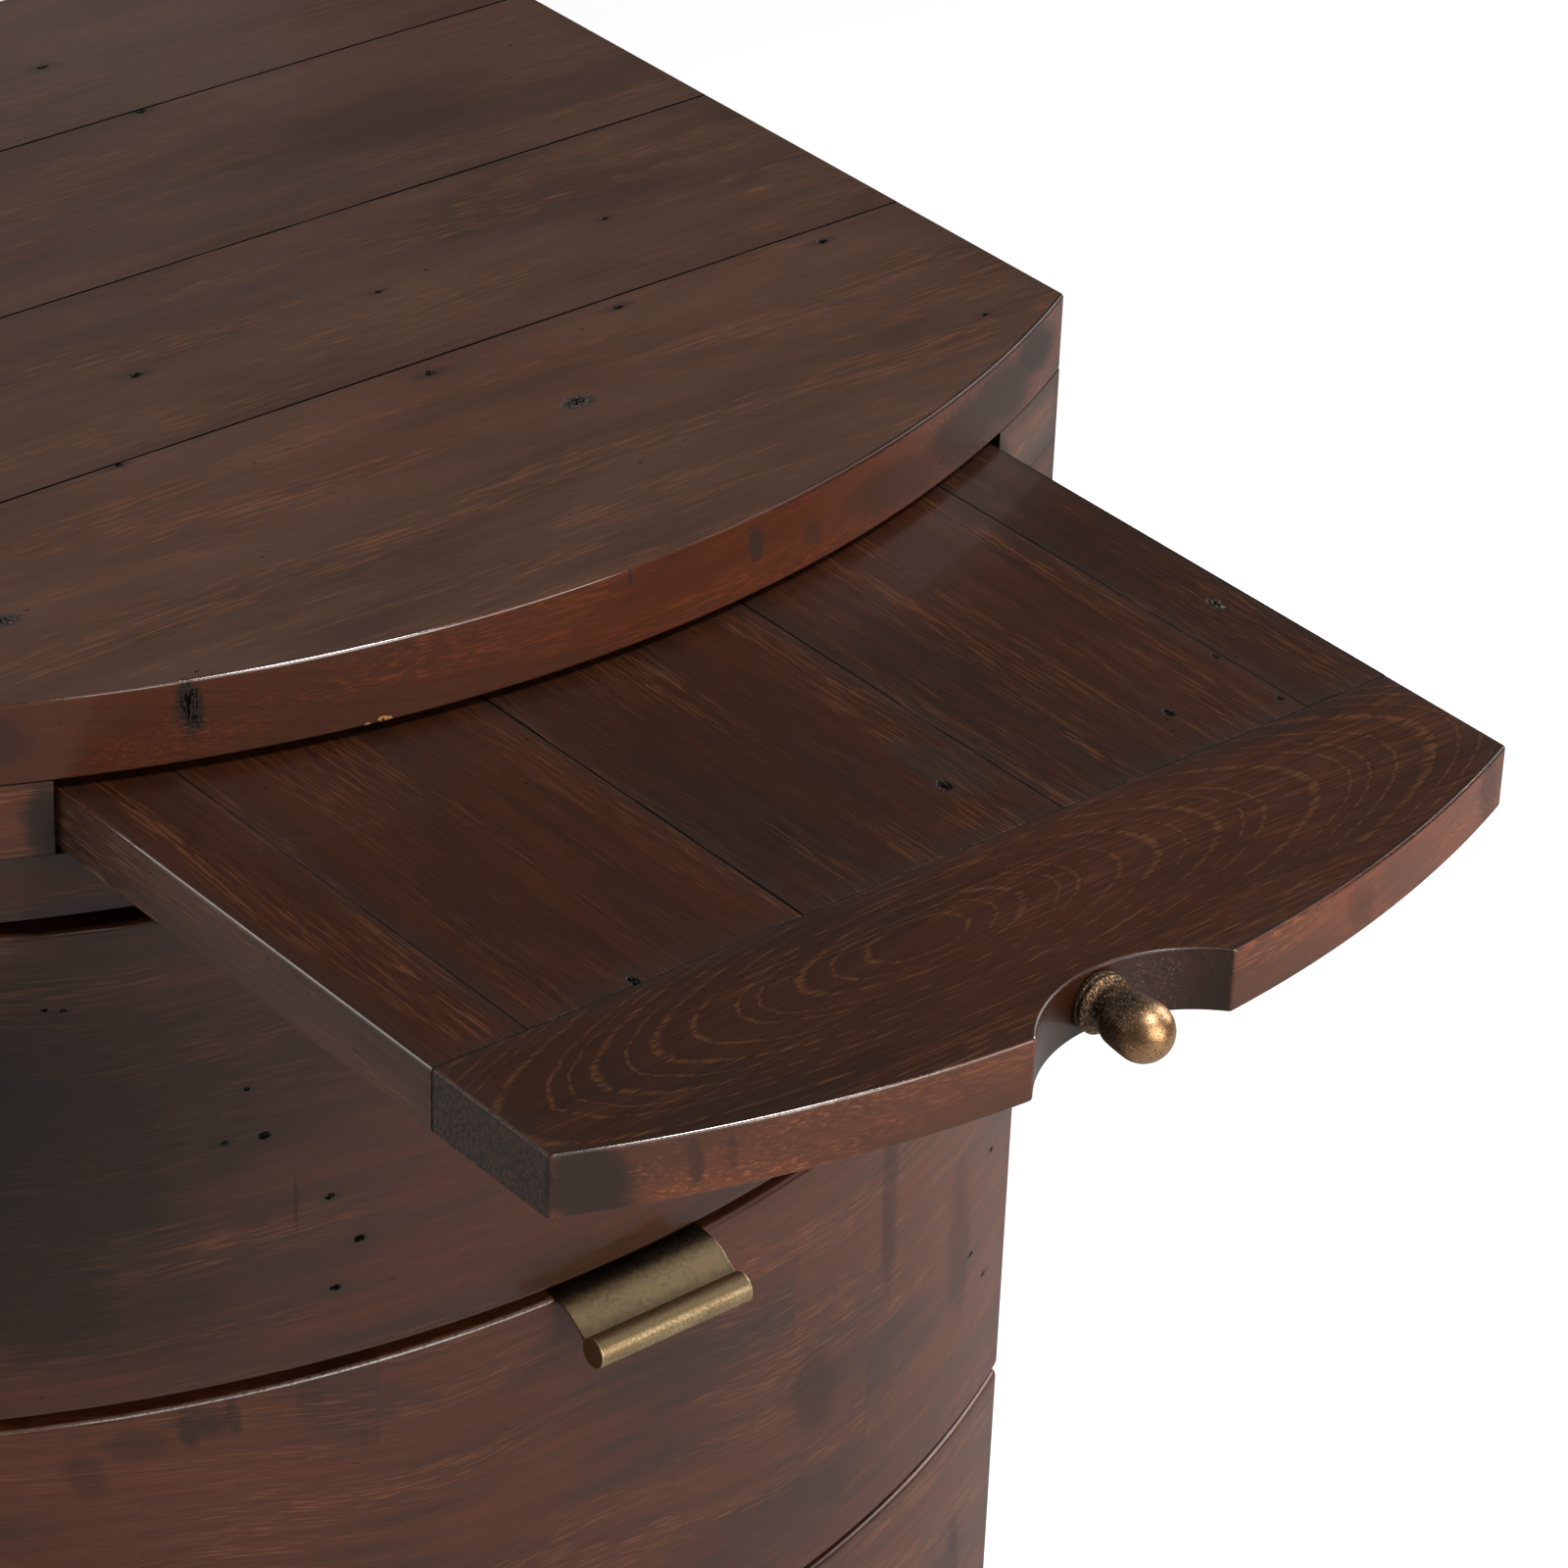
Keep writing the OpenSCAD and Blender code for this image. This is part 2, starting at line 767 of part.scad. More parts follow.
drawer_pull(2);  // drawer_3_pull
drawer_slides(2);  // drawer_3_slides
slide_links(2);  // drawer_3_links
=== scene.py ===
import math

import bmesh
import bpy
from mathutils import Matrix, Vector


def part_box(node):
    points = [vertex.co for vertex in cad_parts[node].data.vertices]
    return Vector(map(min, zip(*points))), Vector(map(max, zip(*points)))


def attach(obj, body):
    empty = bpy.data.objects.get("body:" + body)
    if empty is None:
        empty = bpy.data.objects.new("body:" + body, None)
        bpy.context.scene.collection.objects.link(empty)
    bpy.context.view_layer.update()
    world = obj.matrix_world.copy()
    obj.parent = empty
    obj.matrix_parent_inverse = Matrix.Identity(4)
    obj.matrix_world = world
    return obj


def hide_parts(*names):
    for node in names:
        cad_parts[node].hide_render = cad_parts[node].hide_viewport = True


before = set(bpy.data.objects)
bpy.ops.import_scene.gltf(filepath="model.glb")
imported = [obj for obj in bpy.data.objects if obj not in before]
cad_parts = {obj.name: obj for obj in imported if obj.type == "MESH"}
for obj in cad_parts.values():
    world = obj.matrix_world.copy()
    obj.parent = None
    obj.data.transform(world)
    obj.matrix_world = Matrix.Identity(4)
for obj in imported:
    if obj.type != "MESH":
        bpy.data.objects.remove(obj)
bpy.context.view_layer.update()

# Sizes shared by the pieces, in metres.
MM = 0.001
RISE = 74 * MM
TOP_LOW, TOP_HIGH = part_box("top_board_1")
HALF = TOP_HIGH.x
RADIUS = (HALF**2 + RISE**2) / (2 * RISE)
CORNER_Y = TOP_LOW.y + RISE
CENTRE_Y = CORNER_Y + RADIUS - RISE
TRAY_LOW, TRAY_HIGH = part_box("tray_front_rail")
TRAY_OUT = 285 * MM
TRAY_CENTRE_Y = CENTRE_Y - TRAY_OUT
FRONT_T = 24 * MM
COVE_HALF = 225.3 * MM
NOTCH_R = 61 * MM
NOTCH_DEPTH = 23 * MM
NOTCH_Y = CORNER_Y - RISE + NOTCH_DEPTH - TRAY_OUT
PULL_SHIFT = 10 * MM
PULL_LEN = 76 * MM
PULL_T = 1.5 * MM
PULL_BEND_R = 18 * MM
PULL_BEND_A = math.radians(34)
PULL_LEG = 16.3 * MM
ROD_R = 6.5 * MM
TONGUE_LEN = 15 * MM
RECESS_GAP = 0.2 * MM
DRAWERS = (1, 2, 3)

# Widths of the eased edges.
TOP_ARRIS = 1.3 * MM
TRAY_ARRIS = 1.2 * MM
STILE_ARRIS = 0.8 * MM
FRONT_ARRIS = 2.6 * MM
APRON_ARRIS = 0.3 * MM
SEAM_ARRIS = 0.35 * MM
PLATE_ARRIS = 0.25 * MM
ROD_ARRIS = 0.6 * MM

# How finely round things are divided, and how far a cutter reaches past what it cuts.
BOW_SIDES = 900
NOTCH_SIDES = 256
TURNED_SIDES = 96
CUT_CLEAR = 10 * MM


# Shader values

class Sock:
    """A shader value. Arithmetic on it makes Math nodes, and make() adds any other node."""

    def __init__(self, tree, out):
        self.tree = tree
        self.out = out

    def make(self, kind, inputs=None, result=0, **settings):
        node = self.tree.nodes.new(kind)
        for key, value in settings.items():
            setattr(node, key, value)
        for key, value in (inputs or {}).items():
            if isinstance(value, Sock):
                self.tree.links.new(value.out, node.inputs[key])
            else:
                node.inputs[key].default_value = value
        return Sock(self.tree, node.outputs[result])

    def math(self, operation, first, second=0.0, third=0.0):
        return self.make("ShaderNodeMath", {0: first, 1: second, 2: third}, operation=operation)

    def __add__(self, other):
        return self.math("ADD", self, other)

    __radd__ = __add__

    def __sub__(self, other):
        return self.math("SUBTRACT", self, other)

    def __rsub__(self, other):
        return self.math("SUBTRACT", other, self)

    def __mul__(self, other):
        return self.math("MULTIPLY", self, other)

    __rmul__ = __mul__

    def __truediv__(self, other):
        return self.math("DIVIDE", self, other)

    def __rtruediv__(self, other):
        return self.math("DIVIDE", other, self)

    def __abs__(self):
        return self.math("ABSOLUTE", self)


def root(value):
    return value.math("SQRT", value)


def whole(value):
    return value.math("FLOOR", value)


def fract(value):
    return value.math("FRACT", value)


def lesser(a, b):
    return a.math("MINIMUM", a, b)


def greater(a, b):
    return a.math("MAXIMUM", a, b)


def soft(value, low, high):
    """0 below low and 1 above high, with a smooth way between."""
    return value.make("ShaderNodeMapRange", {"Value": value, "From Min": low, "From Max": high},
                      interpolation_type="SMOOTHSTEP")


def noise(x, y, z, detail=2.0, rough=0.5):
    place = x.make("ShaderNodeCombineXYZ", {0: x, 1: y, 2: z})
    return x.make("ShaderNodeTexNoise", {"Vector": place, "Scale": 1.0, "Detail": detail, "Roughness": rough})


def hashed(a, b, c):
    """A fixed random number from 0 to 1 for each set of three numbers."""
    place = a.make("ShaderNodeCombineXYZ", {0: a, 1: b, 2: c})
    return a.make("ShaderNodeTexWhiteNoise", {"Vector": place}, noise_dimensions="3D")


def colour_mix(factor, a, b):
    """Colour a where factor is 0 and b where it is 1."""
    return factor.make("ShaderNodeMix", {0: factor, 6: a, 7: b}, result=2, data_type="RGBA")


def scaled(colour, red, green, blue):
    return (colour[0] * red, colour[1] * green, colour[2] * blue, 1.0)


def tinted(colour, tint):
    return colour.make("ShaderNodeMix", {0: 1.0, 6: colour, 7: rgb(*tint)}, result=2, data_type="RGBA",
                       blend_type="MULTIPLY")


def rgb(red, green, blue):
    return (red, green, blue, 1.0)


def new_material(name):
    """A material, its Principled node and the piece's own coordinates x, y and z."""
    material = bpy.data.materials.new(name)
    material.use_nodes = True
    tree = material.node_tree
    shader = tree.nodes["Principled BSDF"]
    place = Sock(tree, tree.nodes.new("ShaderNodeTexCoord").outputs["Object"])
    x, y, z = (place.make("ShaderNodeSeparateXYZ", {0: place}, result=i) for i in range(3))
    return material, tree, shader, x, y, z


def drive(tree, shader, name, value):
    if isinstance(value, Sock):
        tree.links.new(value.out, shader.inputs[name])
    else:
        shader.inputs[name].default_value = value


DARK = rgb(0.040, 0.0145, 0.0072)
RED = rgb(0.128, 0.036, 0.0145)
ORANGE = rgb(0.27, 0.092, 0.030)
GOLD = rgb(0.36, 0.135, 0.042)
VEIL = rgb(0.100, 0.066, 0.046)
GLAZE = rgb(0.019, 0.0135, 0.0105)
PAINTED_GLINT = rgb(0.55, 0.47, 0.43)
BLACK = rgb(0.004, 0.0035, 0.003)
END = rgb(0.125, 0.058, 0.031)
KNOT = rgb(0.045, 0.043, 0.035)
PALE_DARK = rgb(0.28, 0.155, 0.07)
PALE_RED = rgb(0.40, 0.235, 0.115)
PALE_ORANGE = rgb(0.52, 0.33, 0.17)
PALE_GLAZE = rgb(0.16, 0.085, 0.04)
BARE = rgb(0.52, 0.24, 0.07)
SPECK = rgb(0.30, 0.20, 0.13)
KNOT_FLECK = rgb(0.22, 0.19, 0.15)

# The glued blocks that a drawer front is made of.
BLOCK_LEN = 310 * MM
COURSE_H = 43 * MM

# How round the innermost ring is at an eye in the grain.
EYE_ROUND = 20 * MM

# Inner width, outer width and raggedness of a seam's black line.
OPEN_SEAM = (0.25 * MM, 0.90 * MM, 2.0 * MM)
TOP_SEAM = (0.20 * MM, 0.70 * MM, 0.7 * MM)
TRAY_SEAM = (0.10 * MM, 0.60 * MM, 1.8 * MM)

# A mark stronger than CHARRED is wrinkled and black, and one stronger than CHIPPED shows bare wood.
CHARRED = 0.9
CHIPPED = 1.0
RUBBED_ROUGH = 0.14

# What each part's colouring multiplies the wood's colours by; some also hold painted light, as said below.
TOP_TONE = (0.91, 1.03, 1.18)
BOW_TONE = (1.02, 0.57, 0.30)
TRAY_TONE = (0.43, 0.37, 0.27)
# Painted light: the tray's front face is made about four and a half times as light as its top, for the lamps in
# front.
TRAY_FACE_LIT_TONE = (2.05, 1.68, 1.26)
# Painted light and sheen: the tray's outer sides are made lighter and greyer than its top.
TRAY_SIDE_LIT_TONE = (2.3, 3.1, 3.9)
FRONT_TONE = (1.27, 1.05, 0.84)
CASE_TONE = (1.4, 1.35, 1.25)
LEFT_STILE_TONE = (1.3, 1.2, 1.1)
# Partly painted sheen: the right stile is made greyer than the left one, for the grazing sheen at the right.
RIGHT_STILE_TONE_AND_SHEEN = (1.11, 1.36, 1.43)


def ratio(tint, base):
    return tuple(a / b for a, b in zip(tint, base))


def bow_depth(centre_y):
    """How far behind the bowed face round the axis at centre_y."""
    def depth(x, y, z):
        dy = centre_y - y
        return RADIUS - root(x * x + dy * dy)
    return depth


def strongest(masks):
    """The greatest of some masks, or None where there are none."""
    best = None
    for mask in masks:
        best = mask if best is None else greater(best, mask)
    return best


def knot_masks(knots, u, v, cloud, fleck, grit):
    """Masks of the knots' dark rings and hearts, and how far they push the growth rings aside."""
    rings, hearts, bulge = [], [], None
    for knot_u, knot_v, radius in knots:
        du = (u - knot_u) * 0.62
        dv = v - knot_v
        near = root(du * du + dv * dv) + (cloud + fleck + grit - 1.5) * (radius * 0.55)
        rings.append(1.0 - soft(abs(near - radius * 0.66), radius * 0.08, radius * 0.36))
        hearts.append(1.0 - soft(near, radius * 0.35, radius * 0.8))
        swell = radius * radius * 5.0 / (near * near + radius * radius * 4.0)
        bulge = swell if bulge is None else bulge + swell
    return strongest(rings), strongest(hearts), bulge


def nail_masks(nails, u, v, fleck, grit):
    """Masks of the ragged nail holes, each with a crack along the grain, and of the stain round them."""
    holes, halos = [], []
    for nail_u, nail_v, radius in nails:
        du = u - nail_u
        dv = v - nail_v
        near = root(du * du * 0.5 + dv * dv) + (grit - 0.5) * (radius * 1.4)
        hole = (1.0 - soft(near, radius * 0.95, radius * 1.35)) * soft(fleck * 0.35 + grit * 0.65, 0.43, 0.49)
        crack = root(du * du * 0.03 + dv * dv)
        holes.append(greater(hole, (1.0 - soft(crack, radius * 0.16, radius * 0.40)) * 0.8))
        halos.append(1.0 - soft(root(du * du * 0.12 + dv * dv), radius * 0.4, radius * 2.8))
    return strongest(holes), strongest(halos)


def mark_masks(marks, u, v, w, cloud, fleck):
    """Masks of dark smears, some dark glaze and some painted shade, of chips to the bare wood, and of charred,
    wrinkled spots.
    """
    smears, chips, chars = [], [], []
    for mark_u, mark_v, half_u, half_v, strength in marks:
        dv = (v - mark_v) / half_v
        du = (u - mark_u) / half_u + dv * 0.35
        near = root(du * du + dv * dv) + (cloud - 0.5) * 0.9 + (fleck - 0.5) * 0.5
        if strength > CHIPPED:
            chips.append(1.0 - soft(near, 0.75, 0.95))
        else:
            smears.append((1.0 - soft(near, 0.55, 1.15)) * strength)
        if CHARRED < strength < CHIPPED:
            wrinkle = noise(u * 1000.0, v * 230.0, w * 100.0, 1.0)
            chars.append((1.0 - soft(near, 0.2, 0.9)) * soft(wrinkle, 0.48, 0.56))
    return strongest(smears), strongest(chips), strongest(chars)


def wood(name, along, seed, span=None, pith=(0.0, -0.05), tilt=0.0, wander=0.012, pitch=4.2 * MM, eye=None,
         red=0.5, streak=0.5, late=0.3, gold=0.0, knots=(), nails=(), marks=(), bow_y=None, strips=0.0,
         seams=(0.0, 0.0), seam_line=OPEN_SEAM, end_grain=None, slant=0.0, wave=0.012, veil=0.0, pale=False,
         glaze=0.5, blotch=0.4, tone=(1.0, 1.0, 1.0), face=None, specks=None, rough=0.40, shine=0.42,
         coat=0.10):
    """Stained pine.

    along is the grain's axis, X, Y, Z or ZY (upright, with its width along Y), or BOW for a wall that
    follows the bow.
    span is the board's face as (u low, u high, v low, v high), u along the grain and v across it.
    pith is where the rings are centred across the grain, tilt how fast that moves along it, wander how far
    they stray and pitch how far apart they are. eye is (u, slope): the rings close to ovals there, and open
    by slope on both sides.
    red, streak, late and gold say how strong the red ground, the orange fibres, the dark ring lines and the
    golden ring lines are. veil greys the whole board, partly as its own grey and partly as painted sheen;
    glaze darkens its edges and blotch its surface.
    knots and nails are (u, v, radius). marks are (u, v, half length, half height, strength), and lie on
    the bow where bow_y is given.
    strips is the height of the glued courses. seams says how dark the two long edges and the near end are,
    and end_grain is half the board's length where its ends show. slant and wave turn and bend the grain.
    tone tints the whole board, and pale is for bare pine.
    face is (depth function, tint, height, evenness, paleness) for an upright face whose colour the tint
    changes: on the tray's front and sides the tint is painted light and sheen, making them lighter than the
    tray's top, and on the top's bowed edge it gives that edge the apron's redder tone. The height is that of
    its upper arris, which is rubbed glossy on the left and blackened on the right; evenness says how even
    the rubbing is, and paleness how strongly the arris is painted pale, a painted highlight.
    specks masks small pale pits.
    """
    material, tree, shader, x, y, z = new_material(name)
    if along == "BOW":
        bow_y = CENTRE_Y
    if bow_y is not None:
        dy = bow_y - y
        bow_u = x.math("ARCTAN2", x, dy) * RADIUS
        bow_w = RADIUS - root(x * x + dy * dy)
    if along == "BOW":
        u, v, w = bow_u, z, bow_w
    else:
        u, v, w = {"X": (x, y, z), "Y": (y, x, z), "Z": (z, x, y), "ZY": (z, y, x)}[along]
    # Each seed cuts its board from another place in the same noise.
    shift = seed * 3.713
    us, vs, ws = u + shift, v + shift * 0.37, w + shift * 0.11
    joint = None
    if strips:
        row = whole((v - span[2]) / strips)
        row_key = hashed(row, 0.0, seed)
        course = u / BLOCK_LEN + row_key * 7.0
        cell = whole(course)
        part = course - cell
        key = hashed(row, cell, seed + 0.5)
        joint = 1.0 - soft(lesser(part, 1.0 - part) * BLOCK_LEN, 0.3 * MM, 1.1 * MM)
    vs = vs + u * slant + (noise(us * 4.5, vs * 1.5, ws * 1.5, 1.0) - 0.5) * wave
    if joint is not None:
        us = us + key * 0.05
        vs = vs + (key - 0.5) * 0.02
    broad = noise(us * 2.4, vs * 7.0, ws * 7.0, 1.0)
    cloud = noise(us * 8.0, vs * 24.0, ws * 24.0, 3.0, 0.55)
    drift = noise(us * 4.0, vs * 2.0, ws * 2.0, 0.0)
    band = noise(us * 5.0, vs * 150.0, ws * 150.0, 3.0, 0.6)
    fibre = noise(us * 45.0, vs * 1500.0, ws * 1500.0, 2.0, 0.6)
    fleck = noise(us * 55.0, vs * 1150.0, ws * 1150.0, 1.0)
    grit = noise(x * 800.0, y * 800.0, z * 800.0, 1.0)
    cluster = noise(us * 6.0, vs * 52.0, ws * 52.0, 2.0)

    knot_dark, knot_core, bulge = knot_masks(knots, u, v, cloud, fleck, grit)
    nail_dark, halo = nail_masks(nails, u, v, fleck, grit)
    on_bow = along != "BOW" and bow_y is not None
    mark_u, mark_v = (bow_u, z) if on_bow else (u, v)
    smear, chip, char = mark_masks(marks, mark_u, mark_v, ws, cloud, fleck)
    if on_bow:
        skin = 1.0 - soft(bow_w, 1.2 * MM, 2.6 * MM)
        smear, chip, char = (None if mask is None else mask * skin for mask in (smear, chip, char))

    ring_v = v - pith[0] + (drift - 0.5) * wander * 2.0
    ring_w = w - pith[1] - u * tilt + (broad - 0.5) * wander
    if eye is not None:
        du = u - eye[0]
        ring_w = ring_w + (root(du * du + EYE_ROUND**2) - EYE_ROUND) * eye[1]
    ring = root(ring_v * ring_v + ring_w * ring_w) + (band - 0.5) * (1.5 * MM)
    if bulge is not None:
        ring = ring + bulge * (4 * MM)
    if gold:
        # Wide and narrow rings, as the years were.
        ring = ring + (noise(ring * 110.0, ring * 0.0, ring * 0.0, 1.0) - 0.5) * (10 * MM)
    turn = fract(ring / pitch + seed)
    dark_line = soft(turn, 0.30, 0.88) * (1.0 - soft(turn, 0.93, 1.0))

    dark_c, red_c, glaze_c = scaled(DARK, *tone), scaled(RED, *tone), GLAZE
    bright = (tone[0], tone[0], tone[0])
    orange_c, gold_c = scaled(ORANGE, *bright), scaled(GOLD, *bright)
    if pale:
        dark_c, red_c, orange_c, glaze_c = PALE_DARK, PALE_RED, PALE_ORANGE, PALE_GLAZE
    warm = broad * 0.36 + cloud * 0.36 + band * 0.28
    if joint is not None:
        warm = warm + (key - 0.5) * 0.06
    warm = soft(warm, 0.28, 0.74)
    colour = colour_mix(lesser(warm * (0.42 + red), 1.0), dark_c, red_c)
    colour = colour_mix(soft(cluster, 0.42, 0.64) * soft(fleck, 0.52, 0.64) * streak, colour, orange_c)
    colour = colour_mix(soft(fibre, 0.52, 0.80) * (streak * 0.40), colour, orange_c)
    colour = colour_mix(dark_line * late, colour, dark_c)
    colour = colour_mix((1.0 - soft(fibre, 0.26, 0.44)) * 0.35, colour, dark_c)
    if gold:
        apex = 1.0 - soft(abs(ring_v) / ring, 0.20, 0.80)
        broken = soft(noise(us * 220.0, vs * 520.0, ws * 300.0, 1.0), 0.40, 0.62) * apex * 0.8
        broken = greater(broken, soft(fleck * 0.6 + fibre * 0.4, 0.46, 0.62))
        crest = soft(turn, 0.70, 0.84) * (1.0 - soft(turn, 0.88, 0.98)) * broken
        upper_side = soft(z, TRAY_HIGH.z - 1.6 * MM, TRAY_HIGH.z - 0.4 * MM)
        colour = colour_mix(crest * upper_side * gold, colour, gold_c)
    # The veil is partly the board's own grey and partly painted sheen.
    if veil:
        colour = colour_mix(soft(cloud, 0.30, 0.70) * (veil * 0.5) + veil * 0.75, colour, scaled(VEIL, *tone))
    wear_and_glint = None
    if face is not None:
        depth_of, tint, crest_z, even, glint_paint = face
        depth = depth_of(x, y, z)
        # The tint is painted light on the tray's front and sides, and the apron's redder tone on the top's
        # bowed edge.
        colour = colour_mix(1.0 - soft(depth, 0.2 * MM, 0.8 * MM), colour, tinted(colour, tint))
        arris = soft(z, crest_z - 1.7 * MM, crest_z - 1.1 * MM) * (1.0 - soft(depth, 1.1 * MM, 1.7 * MM))
        # The right part of the arris is blackened here and made unreflecting with the hollows, so the right
        # lamp leaves no highlight there.
        dark_arris = arris * soft(x, 0.05, 0.14) * 0.6
        colour = colour_mix(dark_arris, colour, BLACK)
        wear_and_glint = arris * (soft(grit * 0.6 + cloud * 0.4, 0.38, 0.54) * (1.0 - even) + even)
        wear_and_glint = wear_and_glint * (1.0 - soft(x, -0.03, 0.09))
        # Painted highlight: on drawer 2 the rubbed arris is also painted pale, where the tray shades it from
        # the lamp above.
        if glint_paint:
            colour = colour_mix(wear_and_glint * glint_paint, colour, PAINTED_GLINT)
    shade = (1.0 - soft(cloud * 0.7 + broad * 0.3, 0.32, 0.50)) * blotch
    if span is not None:
        u_low, u_high, v_low, v_high = span
        edge = lesser(lesser(u - u_low, u_high - u) * 0.7, lesser(v - v_low, v_high - v))
        edge = edge + (cloud - 0.5) * (20 * MM) + (fibre - 0.5) * (3 * MM)
        shade = greater(shade, (1.0 - soft(edge, -4 * MM, 13 * MM)) * glaze)
    if smear is not None:
        shade = greater(shade, smear)
    if joint is not None:
        shade = greater(shade, joint * 0.6 * soft(key, 0.50, 0.75))
    if end_grain is not None:
        speckle = noise(x * 850.0, y * 850.0, z * 420.0, 2.0)
        ends = soft(abs(u), end_grain - 1.6 * MM, end_grain - 0.4 * MM)
        colour = colour_mix(ends, colour, END)
        shade = greater(shade, ends * lesser(soft(speckle, 0.43, 0.55) * 0.72 + dark_line * 0.30 + 0.05, 0.9))
    colour = colour_mix(lesser(shade, 0.94), colour, glaze_c)
    pits = soft(noise(us * 160.0, vs * 420.0, ws * 420.0, 1.0), 0.73, 0.80) * soft(cloud, 0.50, 0.62)
    colour = colour_mix(pits * 0.5, colour, BLACK)
    rough_value = (cloud - 0.5) * 0.14 + (fibre - 0.5) * 0.14 + rough + shade * 0.12
    height = (fibre - 0.5) * (0.05 * MM) + (band - 0.5) * (0.10 * MM) + (broad - 0.5) * (1.2 * MM)
    height = height - pits * (0.08 * MM) - dark_line * (0.03 * MM)
    if joint is not None:
        height = height + (key - 0.5) * (0.06 * MM)
    hollows = [pits * 0.5] if face is None else [pits * 0.5, dark_arris]
    inner, outer, ragged = seam_line
    for side, strength in zip((v - span[2], span[3] - v, u - span[0]) if span else (), seams):
        if strength:
            rough_side = side + (cluster + fleck * 0.5 - 0.75) * ragged
            line = (1.0 - soft(rough_side, inner, outer)) * strength
            colour = colour_mix(line, colour, BLACK)
            rough_value = rough_value + line * 0.3
            hollows.append(line)
    if knot_dark is not None:
        colour = colour_mix(knot_core * 0.85, colour, KNOT)
        torn = knot_core * soft(grit * 0.7 + fleck * 0.3, 0.46, 0.52)
        colour = colour_mix(greater(torn, knot_dark * 0.55), colour, BLACK)
        colour = colour_mix(knot_core * (1.0 - soft(grit, 0.30, 0.36)), colour, KNOT_FLECK)
        hollows.append(torn)
        height = height - knot_dark * fibre * (0.6 * MM) + knot_core * (0.1 * MM)
        rough_value = rough_value + knot_dark * 0.12
    if nail_dark is not None:
        colour = colour_mix(halo * 0.55, colour, glaze_c)
        colour = colour_mix(nail_dark, colour, BLACK)
        hollows.append(nail_dark)
        height = height - nail_dark * (0.9 * MM)
        rough_value = rough_value + nail_dark * 0.3
    if chip is not None:
        colour = colour_mix(chip * soft(grit, 0.40, 0.46), colour, BARE)
        height = height - chip * (0.5 * MM)
        rough_value = rough_value + chip * 0.3
    if specks is not None:
        colour = colour_mix(specks(x, y, z) * 0.8, colour, SPECK)
    if char is not None:
        colour = colour_mix(char * 0.9, colour, BLACK)
        height = height - char * (0.5 * MM)
        hollows.append(char * 0.9)
    # A black metal reflects nothing, so holes and open seams stay dark under the lights.
    hollow = strongest(hollows)
    dull = hollow if smear is None else greater(hollow, smear)
    gloss = coat
    if wear_and_glint is not None:
        rough_value = rough_value - wear_and_glint * (rough - RUBBED_ROUGH)
        gloss = wear_and_glint * (1.0 - coat) + coat
    bump = u.make("ShaderNodeBump", {"Height": height, "Distance": 1.0, "Strength": 1.0})
    drive(tree, shader, "Base Color", colour)
    drive(tree, shader, "Roughness", rough_value)
    drive(tree, shader, "Metallic", hollow)
    drive(tree, shader, "Normal", bump)
    drive(tree, shader, "Coat Weight", 0.0 if pale else gloss * (1.0 - dull))
    shader.inputs["Coat Roughness"].default_value = 0.08
    shader.inputs["Coat IOR"].default_value = 1.8
    shader.inputs["Specular IOR Level"].default_value = shine
    return material


def bronze(name, dark, bright, speck, polish=None, rough=0.36, rim=None, caps_and_shade=None, shade_colour=None):
    """Darkened bronze. polish says where it is rubbed smooth and bright, rim where its edges are worn
    to the bare metal, and caps_and_shade where it is darker, which on the rod is its end faces and on the
    plate is painted shade in shade_colour. Without polish it is brushed and nearly even."""
    material, tree, shader, x, y, z = new_material(name)
    if polish is None:
        grit = noise(x * speck, y * speck, z * speck, 3.0, 0.65)
        patch = noise(x * 60.0, y * 160.0, z * 160.0, 2.0)
        rub = soft(grit * 0.72 + patch * 0.28, 0.36, 0.66)
        height = (grit - 0.5) * (0.02 * MM)
        rough_value = (1.0 - rub) * 0.16 + rough
    else:
        grit = noise(x * speck, y * speck, z * speck, 2.0, 0.7)
        worn = polish(x, y, z)
        rub = lesser(soft(grit, 0.56, 0.61) * (0.62 + worn * 0.2) + worn * 0.62, 1.0)
        pit = soft(noise(x * speck * 0.8, y * speck * 0.8, z * speck * 0.8 + 3.0, 1.0), 0.63, 0.67)
        rub = rub * (1.0 - pit * 0.85)
        height = (grit - 0.5) * (0.22 * MM) * (1.0 - worn * 0.85) - pit * (0.08 * MM)
        rough_value = (1.0 - worn) * 0.20 + rough
    if rim is not None:
        rub = greater(rub, rim(x, y, z))
    colour = colour_mix(rub, dark, bright)
    if caps_and_shade is not None:
        # On the plate this is painted shade; on the rod it darkens the end faces.
        colour = colour_mix(caps_and_shade(x, y, z) * 0.75, colour, shade_colour or dark)
    bump = x.make("ShaderNodeBump", {"Height": height, "Distance": 1.0, "Strength": 1.0})
    drive(tree, shader, "Base Color", colour)
    drive(tree, shader, "Roughness", rough_value)
    drive(tree, shader, "Normal", bump)
    shader.inputs["Metallic"].default_value = 1.0
    return material


def plated_steel(name, base, rough):
    material, tree, shader, x, y, z = new_material(name)
    brush = noise(x * 900.0, y * 40.0, z * 900.0, 2.0)
    cloud = noise(x * 30.0, y * 30.0, z * 30.0, 2.0)
    colour = colour_mix(soft(cloud * 0.6 + brush * 0.4, 0.35, 0.65), base, rgb(*(c * 0.82 for c in base[:3])))
    drive(tree, shader, "Base Color", colour)
    drive(tree, shader, "Roughness", brush * 0.18 + rough)
    shader.inputs["Metallic"].default_value = 1.0
    return material


